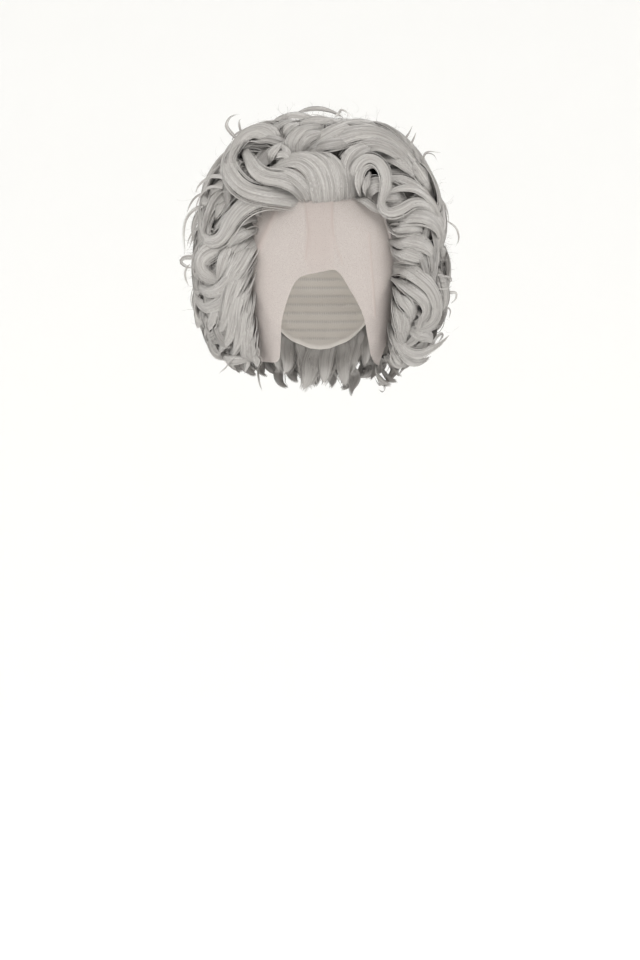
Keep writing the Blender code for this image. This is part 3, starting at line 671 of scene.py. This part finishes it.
def add_lock(bank, path, half_width, strands, tone, depth_shade, roll=0.0, blunt=0.42, from_lace=False, core=True,
             facing=0.0):
    """One lock along a path: its flat core, and its strands fanned over and beside it."""
    steps = len(path)
    t = np.linspace(0.0, 1.0, steps)
    side, normal = lock_frame(path, roll * (0.4 + 0.6 * t), facing)
    root = LACE_ROOT_WIDTH if from_lace else ROOT_WIDTH
    swell = (root + (1.0 - root) * ease(t, 0.0, 0.3)) * (1.0 - (1.0 - blunt) * ease(t, 0.5, 1.0))
    width = np.minimum(half_width * swell, bend_limit(path))
    depth = LOCK_DEPTH * width * (0.25 + 0.75 * ease(t, 0.0, 0.25)) * (1.0 - 0.3 * ease(t, 0.6, 1.0))
    length = np.concatenate([[0.0], np.cumsum(np.linalg.norm(np.diff(path, axis=0), axis=-1))])
    shift = rng.uniform(0.0, 9.0)
    if core:
        angle = np.linspace(0.0, 2.0 * math.pi, CORE_SIDES + 1)
        ridge = 1.0 + 0.05 * np.sin(3.0 * angle + shift) + 0.05 * np.sin(5.0 * angle + 2.0 * shift)
        ring = (side[:, None] * (width[:, None] * np.cos(angle) * ridge)[..., None]
                + normal[:, None] * (depth[:, None] * np.sin(angle) * ridge)[..., None])
        opened = ease(t, 0.0, 0.07) if from_lace else ease(t, 0.02, 0.2)
        shut = (CORE_SHUT + (1.0 - CORE_SHUT) * opened * (1.0 - ease(t, 0.82, 0.98)))[:, None, None]
        body = path[:, None] + ring * shut * CORE_SHARE
        lateral = width[:, None] * np.cos(angle) + shift
        along = length[:, None] + 0.0 * angle
        bank.add(body[None], tone, lateral[None], along[None], depth_shade, "core")

    t = np.linspace(0.0, 1.0, round(STRAND_STEPS * steps))
    place = rng.uniform(-1.0, 1.0, strands)
    stray = rng.uniform(0.0, 1.0, strands) < STRAYS
    place = np.where(stray, np.clip(rng.normal(0.0, 0.85, strands), -1.5, 1.5), place)
    clumps = rng.uniform(-0.9, 0.9, CLUMPS)
    nearest = clumps[np.argmin(np.abs(place[:, None] - clumps), axis=1)]
    gather = GATHER * ease(t, 0.2, 0.95)[None]
    wave = rng.uniform(0.6, 1.4, (strands, 1)) * t + rng.uniform(0.0, 1.0, (strands, 1))
    lane = (place[:, None] * (1.0 - gather) + nearest[:, None] * gather + 0.06 * np.sin(2.0 * math.pi * wave)
            + 0.12 * rng.normal(0.0, 1.0, (strands, 1)) * ease(t, 0.2, 1.0))
    facing_out = np.where(rng.uniform(0.0, 1.0, (strands, 1)) < UNDERSIDE, -1.0, 1.0)
    held = np.clip(lane, -1.0, 1.0)
    lift = facing_out * np.sqrt(1.0 - held ** 2) * rng.uniform(*STRAND_LIFT, (strands, 1))
    begin = rng.uniform(0.0, 0.07, (strands, 1))
    finish = rng.uniform(0.84, 1.0, (strands, 1))
    place_t = (begin + (finish - begin) * t) * (steps - 1)
    low = np.minimum(place_t.astype(int), steps - 2)
    part = (place_t - low)[..., None]

    def along_path(values):
        return values[low] * (1.0 - part) + values[low + 1] * part

    over, out = along_path(side), along_path(normal)
    wide = along_path(width[:, None])[..., 0]
    high = along_path(depth[:, None])[..., 0]
    centre = along_path(path) + over * (lane * wide)[..., None] + out * (lift * high)[..., None]
    tilt = rng.normal(0.0, 0.14, (strands, 1)) - held * 0.55 * facing_out
    flat = over * np.cos(tilt)[..., None] + out * np.sin(tilt)[..., None]
    tapered = (0.5 + 0.5 * ease(t, 0.0, 0.15)) * (1.0 - 0.8 * ease(t, 0.6, 1.0))
    half = flat * (0.5 * STRAND_WIDTH * rng.uniform(0.6, 1.25, (strands, 1)) * tapered)[..., None]
    own_tone = np.clip(tone + rng.normal(0.0, STRAND_TONES, (strands, 1, 1)), 0.0, 1.0)
    ribbons = np.stack([centre - half, centre + half], axis=2)
    lateral = (lane * wide + shift)[..., None] + rng.uniform(0.0, 1.0, (strands, 1, 1))
    bank.add(ribbons, own_tone, lateral, along_path(length[:, None]), depth_shade, "strand")


FACE_LOCKS = (
    # piece, then its locks: half width mm, root level, level, points (across, up) mm from root to tip
    ("front",
     (7.5, 0.02, 0.98, (-20, 56), (-38, 58), (-56, 60), (-71, 65), (-82, 75), (-88, 88), (-87, 101),
      (-80, 112), (-68, 120)),
     (6.5, 0.02, 0.95, (-11, 56), (-21, 67), (-36, 74), (-52, 77), (-62, 84), (-68, 95), (-72, 105),
      (-66, 114)),
     (6, 0.02, 0.90, (-7, 54), (-13, 66), (-27, 78), (-43, 83), (-55, 85)),
     (7, 0.02, 0.95, (1, 52), (-3, 68), (-8, 82), (-20, 91), (-36, 89), (-47, 84)),
     (7, 0.02, 0.98, (7, 52), (5, 70), (-2, 86), (-15, 95), (-31, 95), (-42, 91)),
     (7, 0.02, 0.96, (13, 53), (12, 71), (6, 87), (-5, 97), (-20, 98)),
     (7, 0.02, 0.93, (19, 54), (19, 72), (15, 86), (6, 96), (-8, 99)),
     (6.5, 0.02, 0.88, (26, 55), (26, 72), (25, 87), (31, 99), (42, 105), (55, 107), (68, 103)),
     (6, 0.02, 0.84, (31, 57), (29, 74), (27, 90), (33, 101), (46, 110), (60, 112)),
     (6, 0.50, 0.86, (-12, 102), (0, 106), (13, 109), (26, 110), (38, 108))),
    ("crown",
     (6, 0.62, 1.00, (-25, 97), (-28, 108), (-22, 119), (-10, 125), (3, 126)),
     (6.5, 0.62, 0.93, (-19, 97), (-19, 108), (-12, 116), (0, 120), (12, 121)),
     (6, 0.62, 0.97, (-44, 110), (-45, 123), (-37, 132), (-25, 136), (-12, 134), (1, 129)),
     (4.5, 0.90, 1.00, (-24, 136), (-13, 141), (0, 142), (12, 139), (23, 133)),
     (9, 0.62, 1.02, (-38, 103), (-45, 115), (-56, 121), (-69, 118), (-78, 109), (-83, 97), (-82, 86)),
     (4, 0.62, 0.94, (-49, 90), (-47, 99), (-41, 106), (-35, 110)),
     (3.5, 0.62, 0.97, (-38, 87), (-33, 94), (-33, 103), (-39, 109)),
     (3, 0.62, 0.98, (-44, 94), (-39, 99), (-31, 97), (-28, 91)),
     (5, 0.62, 0.90, (-36, 112), (-33, 121), (-25, 127), (-14, 129)),
     (7, 0.62, 0.92, (-34, 118), (-18, 128), (-2, 131), (14, 131), (30, 130)),
     (8.5, 0.62, 0.99, (-16, 101), (-4, 110), (10, 118), (24, 124), (38, 127), (53, 126), (67, 120),
      (79, 111)),
     (9.5, 0.62, 1.01, (-10, 100), (4, 107), (18, 113), (33, 118), (48, 119), (62, 115), (75, 106),
      (87, 95), (97, 82), (105, 68)),
     (7, 0.62, 0.97, (20, 94), (30, 103), (42, 110), (55, 110), (68, 105), (79, 96), (90, 84),
      (102, 71)),
     (5, 0.62, 0.93, (34, 94), (44, 103), (56, 106), (68, 101), (79, 92), (90, 82)),
     (5, 0.62, 0.92, (57, 95), (70, 94), (80, 88), (90, 79), (99, 70)),
     (6, 0.62, 0.94, (52, 130), (66, 123), (78, 114), (88, 104), (97, 93), (105, 81), (111, 69))),
    ("front",
     (4.6, 0.02, 1.05, (37, 57), (33, 68), (33, 82), (38, 91), (46, 95), (55, 92), (61, 84), (63, 74),
      (62, 64), (59, 55), (61, 48), (69, 44), (79, 46)),
     (3.4, 0.02, 0.98, (41, 56), (37, 68), (38, 80), (43, 87), (51, 88), (56, 82)),
     (3.6, 0.02, 0.84, (43, 58), (44, 70), (48, 82)),
     (3.5, 0.02, 0.80, (34, 58), (44, 53), (54, 46), (66, 41))),
    ("right",
     (5, 0.95, 0.99, (58, 58), (58, 48), (66, 43), (77, 46), (88, 52), (98, 52), (107, 46), (113, 36),
      (116, 24)),
     (4.5, 0.62, 0.82, (66, 82), (76, 82), (86, 77), (95, 70), (105, 61), (112, 50)),
     (5, 0.62, 0.95, (62, 76), (72, 76), (82, 73), (92, 68), (102, 60), (110, 50), (115, 38)),
     (4, 0.90, 0.99, (64, 60), (70, 64), (78, 66), (88, 66), (97, 62), (106, 54), (113, 43), (117, 28),
      (116, 12)),
     (7.5, 0.02, 1.00, (66, 37), (78, 40), (90, 41), (102, 38), (111, 31), (115, 20), (112, 10),
      (104, 6)),
     (5, 0.62, 0.96, (92, 50), (103, 47), (112, 39), (117, 28), (118, 16), (115, 5)),
     (6, 0.02, 0.96, (67, 27), (79, 29), (91, 29), (100, 26)),
     (7, 0.02, 0.97, (68, 17), (80, 16), (92, 14), (102, 9), (108, 1), (110, -9)),
     (6, 0.02, 0.94, (69, 6), (80, 5), (90, 2), (99, -3), (106, -10)),
     (8, 0.02, 1.00, (69, -8), (81, -10), (93, -18), (104, -28), (110, -40), (111, -53), (106, -63),
      (96, -68), (86, -68)),
     (7, 0.62, 0.95, (92, -10), (103, -18), (113, -29), (118, -42), (118, -54), (112, -64), (102, -69)),
     (6, 0.02, 0.93, (70, -20), (80, -26), (91, -33), (100, -41), (102, -52), (97, -60), (88, -64)),
     (7, 0.02, 0.92, (71, -30), (79, -40), (86, -50), (88, -61)),
     (6, 0.02, 0.90, (71, -42), (76, -54), (78, -66), (77, -78))),
    ("crown",
     (8.5, 0.50, 0.96, (66, 108), (80, 99), (91, 87), (100, 74), (107, 61), (112, 48))),
    ("right",
     (7, 0.62, 0.95, (108, 24), (115, 12), (119, -1), (117, -14)),
     (6.5, 0.62, 0.94, (108, -4), (115, -16), (119, -28), (121, -40), (118, -52)),
     (6, 0.62, 0.95, (84, -66), (93, -71), (102, -73), (107, -78), (103, -84)),
     (4.5, 0.62, 0.98, (79, -70), (77, -80), (83, -89), (94, -92), (104, -88), (113, -83), (121, -76)),
     (5, 0.62, 0.93, (75, -78), (79, -90), (86, -98), (96, -99), (106, -94)),
     (2.6, 0.62, 0.88, (70, -84), (69, -95), (73, -102), (79, -102), (81, -96), (77, -90))),
    ("nape",
     (4, 0.40, 0.82, (64, -88), (66, -100), (71, -108), (78, -113)),
     (4, 0.40, 0.80, (58, -98), (60, -109), (66, -116), (74, -118)),
     (4, 0.40, 0.76, (53, -102), (55, -113), (61, -119), (68, -121))),
    ("left",
     (8.5, 0.02, 1.00, (-28, 57), (-47, 59), (-63, 55), (-75, 47), (-83, 37), (-88, 27), (-94, 18),
      (-102, 14), (-110, 17), (-114, 27), (-114, 38), (-110, 49)),
     (6, 0.40, 0.93, (-66, 50), (-78, 44), (-88, 38), (-96, 32), (-102, 26)),
     (5.5, 0.40, 0.90, (-84, 58), (-92, 52), (-98, 44), (-102, 34)),
     (5.5, 0.02, 0.92, (-64, 27), (-74, 25), (-83, 18), (-89, 8)),
     (7.5, 0.02, 0.97, (-65, 14), (-71, 5), (-77, -5), (-84, -16), (-88, -28), (-90, -40)),
     (6.5, 0.30, 0.98, (-82, 20), (-87, 9), (-92, -2), (-96, -14), (-98, -25)),
     (8.5, 0.62, 1.00, (-86, 13), (-97, 10), (-108, 5), (-114, -4), (-112, -14), (-103, -20),
      (-93, -22)),
     (7.5, 0.02, 0.98, (-66, 6), (-75, -6), (-84, -19), (-94, -29), (-105, -33), (-114, -29),
      (-119, -19)),
     (8, 0.02, 0.97, (-68, -9), (-77, -21), (-86, -34), (-96, -44), (-107, -48), (-116, -43),
      (-120, -33)),
     (9, 0.02, 1.00, (-69, -6), (-79, -19), (-86, -34), (-89, -48), (-93, -61), (-100, -71),
      (-108, -77)),
     (7.5, 0.30, 0.97, (-94, -34), (-98, -47), (-103, -59), (-109, -69), (-110, -76)),
     (7, 0.30, 0.94, (-104, -40), (-110, -50), (-114, -60), (-112, -70)),
     (8.5, 0.02, 0.95, (-70, -22), (-78, -35), (-82, -50), (-84, -64), (-88, -77), (-95, -87),
      (-98, -93)),
     (8, 0.02, 0.92, (-69, -40), (-75, -54), (-77, -68), (-79, -81), (-84, -92), (-90, -97)),
     (7.5, 0.02, 0.90, (-67, -57), (-71, -70), (-72, -83), (-72, -94), (-68, -99)),
     (6.5, 0.02, 0.86, (-65, -72), (-67, -84), (-66, -94), (-61, -99)),
     (6, 0.40, 0.92, (-100, -72), (-104, -82), (-99, -92), (-88, -97)),
     (4, 0.62, 0.95, (-96, -92), (-86, -97), (-76, -97), (-64, -97)),
     (4.5, 0.40, 0.88, (-68, -92), (-70, -100), (-72, -110))),
    ("nape",
     (3, 0.40, 0.70, (-57, -94), (-59, -106), (-58, -118), (-55, -127))),
    ("left",
     (5, 0.62, 0.92, (-79, 104), (-86, 94), (-88, 83), (-84, 73)),
     (4.5, 0.62, 0.88, (-80, 80), (-89, 72), (-98, 67), (-106, 60), (-111, 50)),
     (4.5, 0.62, 0.92, (-78, 66), (-90, 64), (-101, 61), (-110, 54), (-116, 43), (-118, 31)),
     (4, 0.62, 0.94, (-104, 50), (-113, 46), (-119, 36), (-121, 24), (-120, 12)),
     (6.5, 0.62, 0.94, (-110, 14), (-117, 2), (-119, -11), (-115, -22)),
     (6.5, 0.62, 0.94, (-110, -20), (-117, -32), (-119, -45), (-114, -56))),
)


def level_along(t, root, body, tip, rise=0.4):
    """Level along a lock, from its root over its body to its tip."""
    return root + (body - root) * ease(t, 0.0, rise) - (body - tip) * ease(t, 0.7, 1.0)


def face_path(guides, levels, steps=LOCK_STEPS, drift=0.0, behind=False):
    """Path of a lock given as it looks from in front, on the face or the back of the hair; where
    it meets the outline it drifts on round the side."""
    seen = evenly(smooth_through(np.array(guides, float) * 0.001, 80), steps)
    level = level_along(np.linspace(0.0, 1.0, steps), *levels)
    line = seen
    for _ in range(3):
        half, front, back = half_sizes(line[:, 1], level)
        share = np.minimum(np.abs(line[:, 0]) / np.maximum(half, 0.01), 0.999)
        reach = back if behind else -front
        depth = reach * (1.0 - share ** FORM_POWER) ** (1.0 / FORM_POWER) + drift * ease(share, 0.85, 1.0)
        depth = softened(depth, 6)
        line = true_place(seen, depth)
    return np.stack([line[:, 0], depth, line[:, 1]], axis=-1)


def add_face_locks(name, locks):
    """Locks of one piece from the table; those of the nape lie at the back of the neck."""
    behind = name == "nape"
    for half_width, root, level, *guides in locks:
        from_lace = root < 0.1
        levels = (root, level, level - 0.14, 0.24 if from_lace else 0.4)
        drift = rng.uniform(0.0, 0.030 if name in ("left", "right") and level < 0.98 else 0.008)
        path = face_path(guides, levels, LOCK_STEPS + 2 * max(len(guides) - 5, 0), drift, behind)
        # Painted light and shade: locks at the back of the neck get a light tone and no depth shade, as
        # painted light. The other locks get a lighter tone and less painted depth shade the higher their
        # level.
        tone, depth_shade = (0.90, 0.0) if behind else (0.61 + 0.5 * (level - 0.92), 0.8 * (1.0 - level))
        tone += rng.uniform(-0.06, 0.06)
        add_lock(banks[name], path, 0.001 * half_width, int(12 * half_width), tone, depth_shade,
                 from_lace=from_lace, facing=0.7)


def surface_walk(azimuth, elevation, heading, sway, turn, length, levels, phase=0.0):
    """Path of a lock that falls from a root at the given heading, swaying and then curling up."""
    t = np.linspace(0.0, 1.0, LOCK_STEPS)
    level = level_along(t, *levels)
    places = []
    for step in range(LOCK_STEPS):
        places.append((azimuth, elevation))
        swing = sway * math.sin(2.0 * math.pi * (t[step] + phase))
        aim = math.radians(heading + swing + turn * float(ease(t[step], 0.35, 1.0)))
        mean = HEAD_HALF_DEPTH + 0.022 * level[step]
        around = mean * max(math.cos(math.radians(max(elevation, 0.0))), 0.12)
        elevation -= math.degrees(math.cos(aim) * length / LOCK_STEPS / mean)
        azimuth += math.degrees(math.sin(aim) * length / LOCK_STEPS / around)
        elevation = min(elevation, 86.0)
    places = np.array(places)
    return softened(surface_points(places[:, 0], places[:, 1], level), 2)


SIDES = {"front": "front_hair", "crown": "crown_hair", "left": "left_side_hair",
         "right": "right_side_hair", "back": "back_hair", "nape": "nape_hair"}
banks = {name: Bank() for name in SIDES}
HAIR_EDGE = np.array((
    # azimuth, elevation of the hair's lower edge, degrees
    (0, 60), (22, 57), (34, 50), (44, 40), (50, 24), (54, 0), (56, -30),
    (60, -44), (70, -48), (90, -50), (120, -52), (150, -57), (180, -60),
))


def piece_at(azimuth, elevation):
    """Hair piece that a root belongs to."""
    turn = signed(azimuth)
    if elevation > 62.0:
        return "crown"
    if abs(turn) < 44.0:
        return "front"
    if elevation < -34.0 and abs(turn) > 100.0:
        return "nape"
    if abs(turn) > 125.0:
        return "back"
    return "right" if turn > 0.0 else "left"


UNDER_ROWS = (
    # elevation, first azimuth, locks, length mm, half width mm
    (82, 10, 10, 80, 11),
    (72, 8, 17, 84, 11),
    (63, 10, 21, 84, 11),
    (50, 52, 17, 88, 11),
    (38, 56, 18, 88, 10.5),
    (26, 58, 18, 86, 10.5),
    (14, 60, 18, 84, 10),
    (2, 62, 18, 80, 10),
    (-10, 64, 18, 74, 9.5),
    (-22, 66, 17, 64, 9),
    (-33, 68, 16, 46, 8),
    (-43, 84, 17, 44, 7.5),
    (-49, 92, 14, 34, 6.5),
    (-54, 126, 10, 40, 7),
)

OUTER_ROWS = (
    # elevation, first azimuth, locks, length mm, half width mm
    (80, 60, 6, 96, 11),
    (66, 90, 8, 100, 11),
    (50, 96, 9, 104, 11),
    (34, 98, 10, 104, 10.5),
    (18, 98, 11, 100, 10.5),
    (3, 98, 11, 96, 10),
    (-12, 100, 10, 84, 9),
    (-27, 104, 9, 72, 8),
    (-41, 116, 9, 52, 7.5),
    (-53, 130, 7, 40, 7),
)

SIDE_HAIRLINE = (
    # across and up of a root mm, heading degrees above outwards, turn degrees, length mm
    (-47, 54, 24, -60, 46), (-54, 49, 8, -60, 46), (-60, 41, -10, -50, 46), (-63, 32, -28, -40, 46),
    (-65, 22, -40, -30, 46), (-66, 12, -50, -20, 46), (-67, 1, -58, -10, 44), (-68, -10, -64, 0, 44),
    (-69, -21, -72, 8, 42), (-69, -33, -80, 14, 40), (-68, -46, -84, 10, 38), (-67, -59, -84, 10, 34),
    (-65, -72, -86, -8, 28), (-63, -84, -88, -16, 20),
    (40, 57, 60, -100, 40), (48, 54, 40, -90, 42), (56, 48, 24, -70, 44), (62, 41, 14, -55, 46),
    (65, 32, 8, -45, 46), (67, 22, 6, -45, 46), (68, 12, 4, -45, 46), (69, 2, 4, -45, 46),
    (70, -9, -6, -50, 46), (71, -20, -18, -50, 44), (71, -32, -34, -45, 42), (71, -44, -50, -35, 40),
    (70, -56, -60, -20, 36), (68, -68, -64, 10, 34), (66, -80, -66, 30, 30),
)


def add_side_roots():
    """Locks that grow from the lace down both sides of the face and turn outwards and back."""
    for across, up, heading, turn, length in SIDE_HAIRLINE:
        hand = math.copysign(1.0, across)
        across = abs(across)
        guides = [(hand * across, up)]
        for step in range(5):
            aim = math.radians(heading + turn * step / 4.0)
            across += length / 5.0 * math.cos(aim)
            up += length / 5.0 * math.sin(aim)
            guides.append((hand * across, up))
        name, body = ("right", 0.74) if hand > 0 else ("left", 0.62)
        path = face_path(guides, (0.02, body, 0.40))
        tone = 0.58 + rng.uniform(-0.06, 0.06)
        # Painted shade: a fixed painted depth shade value darkens these locks where they grow from the lace.
        add_lock(banks[name], path, 0.0082, 64, tone, 0.16, from_lace=True, facing=0.5)


def add_rows(rows, levels, strands, tone, curl):
    """Rows of locks round the head; their tips curl alternately to the left and to the right."""
    for row, (elevation, first, count, length, half_width) in enumerate(rows):
        for azimuth in np.linspace(first, 360.0 - first, count):
            azimuth += rng.uniform(-5.0, 5.0)
            place = elevation + rng.uniform(-4.0, 4.0)
            hand = 1.0 if math.sin(math.radians(3.0 * azimuth) + 1.4 * row) > 0.0 else -1.0
            if rng.uniform() < 0.12:
                hand = -hand
            low = levels[1] + rng.uniform(-0.05, 0.05)
            turn = signed(azimuth)
            aside = 85.0 * math.copysign(1.0 - float(ease(abs(turn), 35.0, 80.0)), turn)
            heading = aside + rng.uniform(-25.0, 25.0)
            bend = curl * hand * rng.uniform(0.6, 1.2)
            fall = 0.001 * length * rng.uniform(0.85, 1.15)
            path = surface_walk(azimuth, place, heading, 32.0 * hand, bend, fall,
                                (levels[0], low, levels[2]), phase=rng.uniform(0.0, 0.3))
            width = 0.001 * half_width * rng.uniform(0.8, 1.15)
            own_tone = tone + rng.uniform(-0.12, 0.12)
            # Painted shade: the lower a lock's level, the more painted depth shade it is given.
            add_lock(banks[piece_at(azimuth, place)], path, width, strands, own_tone, 1.0 - low,
                     roll=rng.uniform(-0.35, 0.35), blunt=CURL_TIP)


def add_front_under():
    """Deep locks that rise from the hairline and part to both sides under the face's locks."""
    for azimuth in np.linspace(-38.0, 38.0, 14):
        hand = -1.0 if azimuth < 8.0 else 1.0
        root = float(cap_edge(np.array(azimuth))) + 4.0
        path = surface_walk(azimuth, root, hand * 150.0, 8.0, -hand * 70.0, 0.085, (0.10, 0.70, 0.60))
        # Painted shade: these locks lie under the face's locks and get a darker tone and a painted depth
        # shade value.
        add_lock(banks["front"], path, 0.007, 40, 0.42 + rng.uniform(-0.1, 0.1), 0.3)


def add_nape_inside():
    """Short locks that hang below the back edge of the cap, seen from inside the wig."""
    for azimuth in np.linspace(112.0, 248.0, 21):
        edge = float(cap_edge(np.array(azimuth)))
        hand = 1.0 if rng.uniform() < 0.5 else -1.0
        path = surface_walk(azimuth, edge + 9.0, rng.uniform(-12.0, 12.0), 16.0 * hand, 40.0 * hand,
                            rng.uniform(0.056, 0.070), (0.10, 0.26, 0.50))
        # Painted light: these locks lie in shade inside the wig and get a light tone and little depth shade
        # to stand in for light.
        add_lock(banks["nape"], path, 0.0095, 60, 0.78 + rng.uniform(-0.08, 0.08), 0.05)


def add_undercoat():
    """Closed mass of hair over the cap that the locks lie on."""
    azimuth = np.linspace(-180.0, 180.0, 145)
    for start in range(0, 144, 12):
        part = azimuth[start:start + 13]
        edge = np.interp(np.abs(part), HAIR_EDGE[:, 0], HAIR_EDGE[:, 1])
        for low, high in ((0.0, 0.4), (0.4, 1.0)):
            drop = np.linspace(low, high, 24)[:, None]
            elevation = 88.0 + (edge - 88.0) * drop
            level = 0.60 + 0.05 * np.sin(np.radians(part) * 11.0) * np.sin(drop * 16.0)
            level = level - 0.15 * ease(drop, 0.9, 1.0)
            points = surface_points(part, elevation, level)
            name = piece_at(float(part[6]), float(elevation[12, 6]))
            width = np.radians(part) * HEAD_HALF_DEPTH + 0.0 * drop
            along = 0.2 * drop + 0.0 * part
            # Painted shade: the undercoat under the locks gets a darker mid tone and a painted depth shade
            # value.
            banks[name].add(points[None], 0.50, width[None], along[None], 0.22, "core")


add_undercoat()
add_nape_inside()
add_front_under()
add_side_roots()
# Painted shade: the under rows get a darker tone than the outer rows.
add_rows(UNDER_ROWS, (0.30, 0.83, 0.72), 34, 0.54, 70.0)
add_rows(OUTER_ROWS, (0.60, 0.97, 0.80), 76, 0.60, 130.0)
for name, *locks in FACE_LOCKS:
    add_face_locks(name, locks)

WISPS = (
    # piece, half width mm, strands, points (across, up) mm
    ("crown", 1.6, 12, (-76, 110), (-83, 117), (-89, 125), (-88, 131), (-84, 135), (-76, 137)),
    ("crown", 1, 7, (-72, 116), (-76, 122), (-77, 130), (-74, 134)),
    ("crown", 1.5, 10, (-84, 112), (-80, 118), (-70, 123), (-62, 127)),
    ("left", 1.8, 14, (-86, 74), (-93, 77), (-102, 78), (-110, 74), (-116, 68), (-119, 60)),
    ("left", 1.8, 14, (-98, 58), (-106, 61), (-114, 60), (-120, 56), (-125, 48), (-127, 41)),
    ("left", 2, 14, (-104, 48), (-112, 49), (-120, 46), (-126, 40), (-129, 32), (-130, 20), (-129, 8),
     (-130, 1)),
    ("left", 1.2, 9, (-116, 34), (-120, 28), (-122, 18), (-125, 8)),
    ("left", 1.8, 14, (-104, 0), (-112, 2), (-122, 1), (-130, 0), (-133, -4), (-129, -8), (-124, -9),
     (-118, -7)),
    ("left", 1.2, 9, (-124, -6), (-128, -12), (-128, -20), (-125, -28)),
    ("left", 0.9, 6, (-80, -94), (-86, -99), (-90, -105), (-97, -111)),
    ("left", 0.9, 6, (-86, -94), (-84, -101), (-81, -108)),
    ("crown", 1.4, 10, (12, 132), (18, 138), (20, 141), (25, 139), (31, 132)),
    ("crown", 0.8, 5, (72, 104), (80, 112), (85, 119), (88, 126)),
    ("left", 1.4, 10, (-92, 66), (-101, 68), (-109, 65), (-115, 57), (-118, 48), (-119, 38)),
    ("left", 1.2, 9, (-100, 26), (-110, 30), (-119, 27), (-125, 18), (-127, 9)),
    ("right", 1.4, 10, (100, 60), (110, 60), (118, 52), (122, 42), (123, 32)),
    ("crown", 0.8, 5, (78, 98), (86, 107), (90, 115), (92, 121)),
    ("right", 0.8, 6, (98, 84), (100, 90), (99, 97), (103, 101), (115, 100)),
    ("right", 0.8, 5, (98, 92), (101, 99), (108, 98), (112, 92)),
    ("right", 1.2, 9, (120, 36), (129, 29), (132, 22), (132, 16), (129, 10)),
    ("right", 1, 7, (110, -16), (118, -18), (124, -19), (125, -22), (120, -25)),
    ("right", 1, 7, (112, -30), (120, -30), (126, -27)),
    ("right", 1.2, 8, (116, -34), (126, -33), (130, -34), (129, -40), (123, -45)),
    ("right", 0.9, 6, (118, -46), (124, -50), (123, -58)),
    ("right", 1.3, 9, (100, -84), (108, -80), (112, -75), (116, -72), (117, -75), (112, -82)),
    ("right", 1.5, 10, (106, -86), (113, -84), (119, -78), (124, -73)),
    ("nape", 1.2, 9, (52, -114), (56, -121), (60, -120), (62, -124), (60, -128), (56, -126)),
)
FLYAWAYS = 1500


def add_wisps():
    """Thin curls that stand off the outline, as seen from in front, and loose hairs all round."""
    for name, half_width, strands, *guides in WISPS:
        path = face_path(guides, (0.9, 1.0, 1.0), 22, rng.uniform(-0.01, 0.03), name == "nape")
        add_lock(banks[name], path, 0.001 * half_width, strands, 0.62, 0.0, core=False, blunt=0.5,
                 facing=1.0)
    t = np.linspace(0.0, 1.0, 12)
    azimuth = rng.uniform(40.0, 320.0, FLYAWAYS)
    elevation = np.degrees(np.arcsin(rng.uniform(-0.62, 1.0, FLYAWAYS)))
    azimuth = np.where(elevation > 62.0, rng.uniform(0.0, 360.0, FLYAWAYS), azimuth)
    for turn, lift in zip(azimuth, elevation):
        length = rng.uniform(0.02, 0.055)
        root = surface_points(turn, lift, rng.uniform(0.8, 0.98))
        out = outward_at(root)
        along = unit(np.cross(out, rng.normal(0.0, 1.0, 3)))
        bend = rng.uniform(1.5, 4.0)
        ring = along * np.sin(bend * t)[:, None] / bend
        ring = ring + out * (1.0 - np.cos(bend * t))[:, None] / bend * rng.uniform(0.15, 0.5)
        path = root + ring * length + 0.0006 * np.sin(t[:, None] * 9.0 + rng.uniform(0.0, 6.0, 3))
        half = unit(np.cross(np.gradient(path, axis=0), out)) * 0.00018 * (1.0 - 0.7 * t[:, None])
        sheet = np.stack([path - half, path + half], axis=1)
        banks[piece_at(float(turn), float(lift))].add(sheet[None], 0.6, 0.3, 0.1, 0.0, "strand")


add_wisps()


def hair_material():
    material, tree, shader = new_material("silver_hair")
    place = tree.nodes.new("ShaderNodeCombineXYZ")
    tree.links.new(math_node(tree, 'MULTIPLY', attribute_value(tree, "across"), STREAKS_ACROSS),
                   place.inputs["X"])
    tree.links.new(math_node(tree, 'MULTIPLY', attribute_value(tree, "along"), STREAKS_ALONG),
                   place.inputs["Y"])
    streak = tree.nodes.new("ShaderNodeTexNoise")
    set_plain(streak, {"Scale": 1.0, "Detail": 3.0, "Roughness": 0.6})
    tree.links.new(place.outputs[0], streak.inputs["Vector"])
    streaked = math_node(tree, 'SUBTRACT', streak.outputs["Fac"], 0.5)
    varied = math_node(tree, 'ADD', attribute_value(tree, "tone"), streaked)
    # Painted shade: the colour is darkened by the lock's depth shade value, standing in for shade deep in
    # the hair.
    shade = math_node(tree, 'MULTIPLY', attribute_value(tree, "depth_shade"), DEEP_SHADE)
    shaded = math_node(tree, 'SUBTRACT', varied, shade)
    ramp = tree.nodes.new("ShaderNodeValToRGB")
    ramp.color_ramp.elements[0].position = 0.05
    ramp.color_ramp.elements[0].color = (*HAIR_DARK, 1.0)
    ramp.color_ramp.elements[1].position = 0.95
    ramp.color_ramp.elements[1].color = (*HAIR_LIGHT, 1.0)
    middle = ramp.color_ramp.elements.new(0.5)
    middle.color = (*HAIR_MIDDLE, 1.0)
    tree.links.new(shaded, ramp.inputs["Fac"])
    tree.links.new(ramp.outputs["Color"], shader.inputs["Base Color"])
    set_plain(shader, {"Roughness": 0.42, "Specular IOR Level": 0.45})
    add_bump(tree, shader, streak.outputs["Fac"], 0.5, 0.0004)
    return material


silver = hair_material()
for name, node in SIDES.items():
    piece = banks[name].build("curls_" + name)
    piece.data.materials.append(silver)
    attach(piece, "root")
    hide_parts(node)
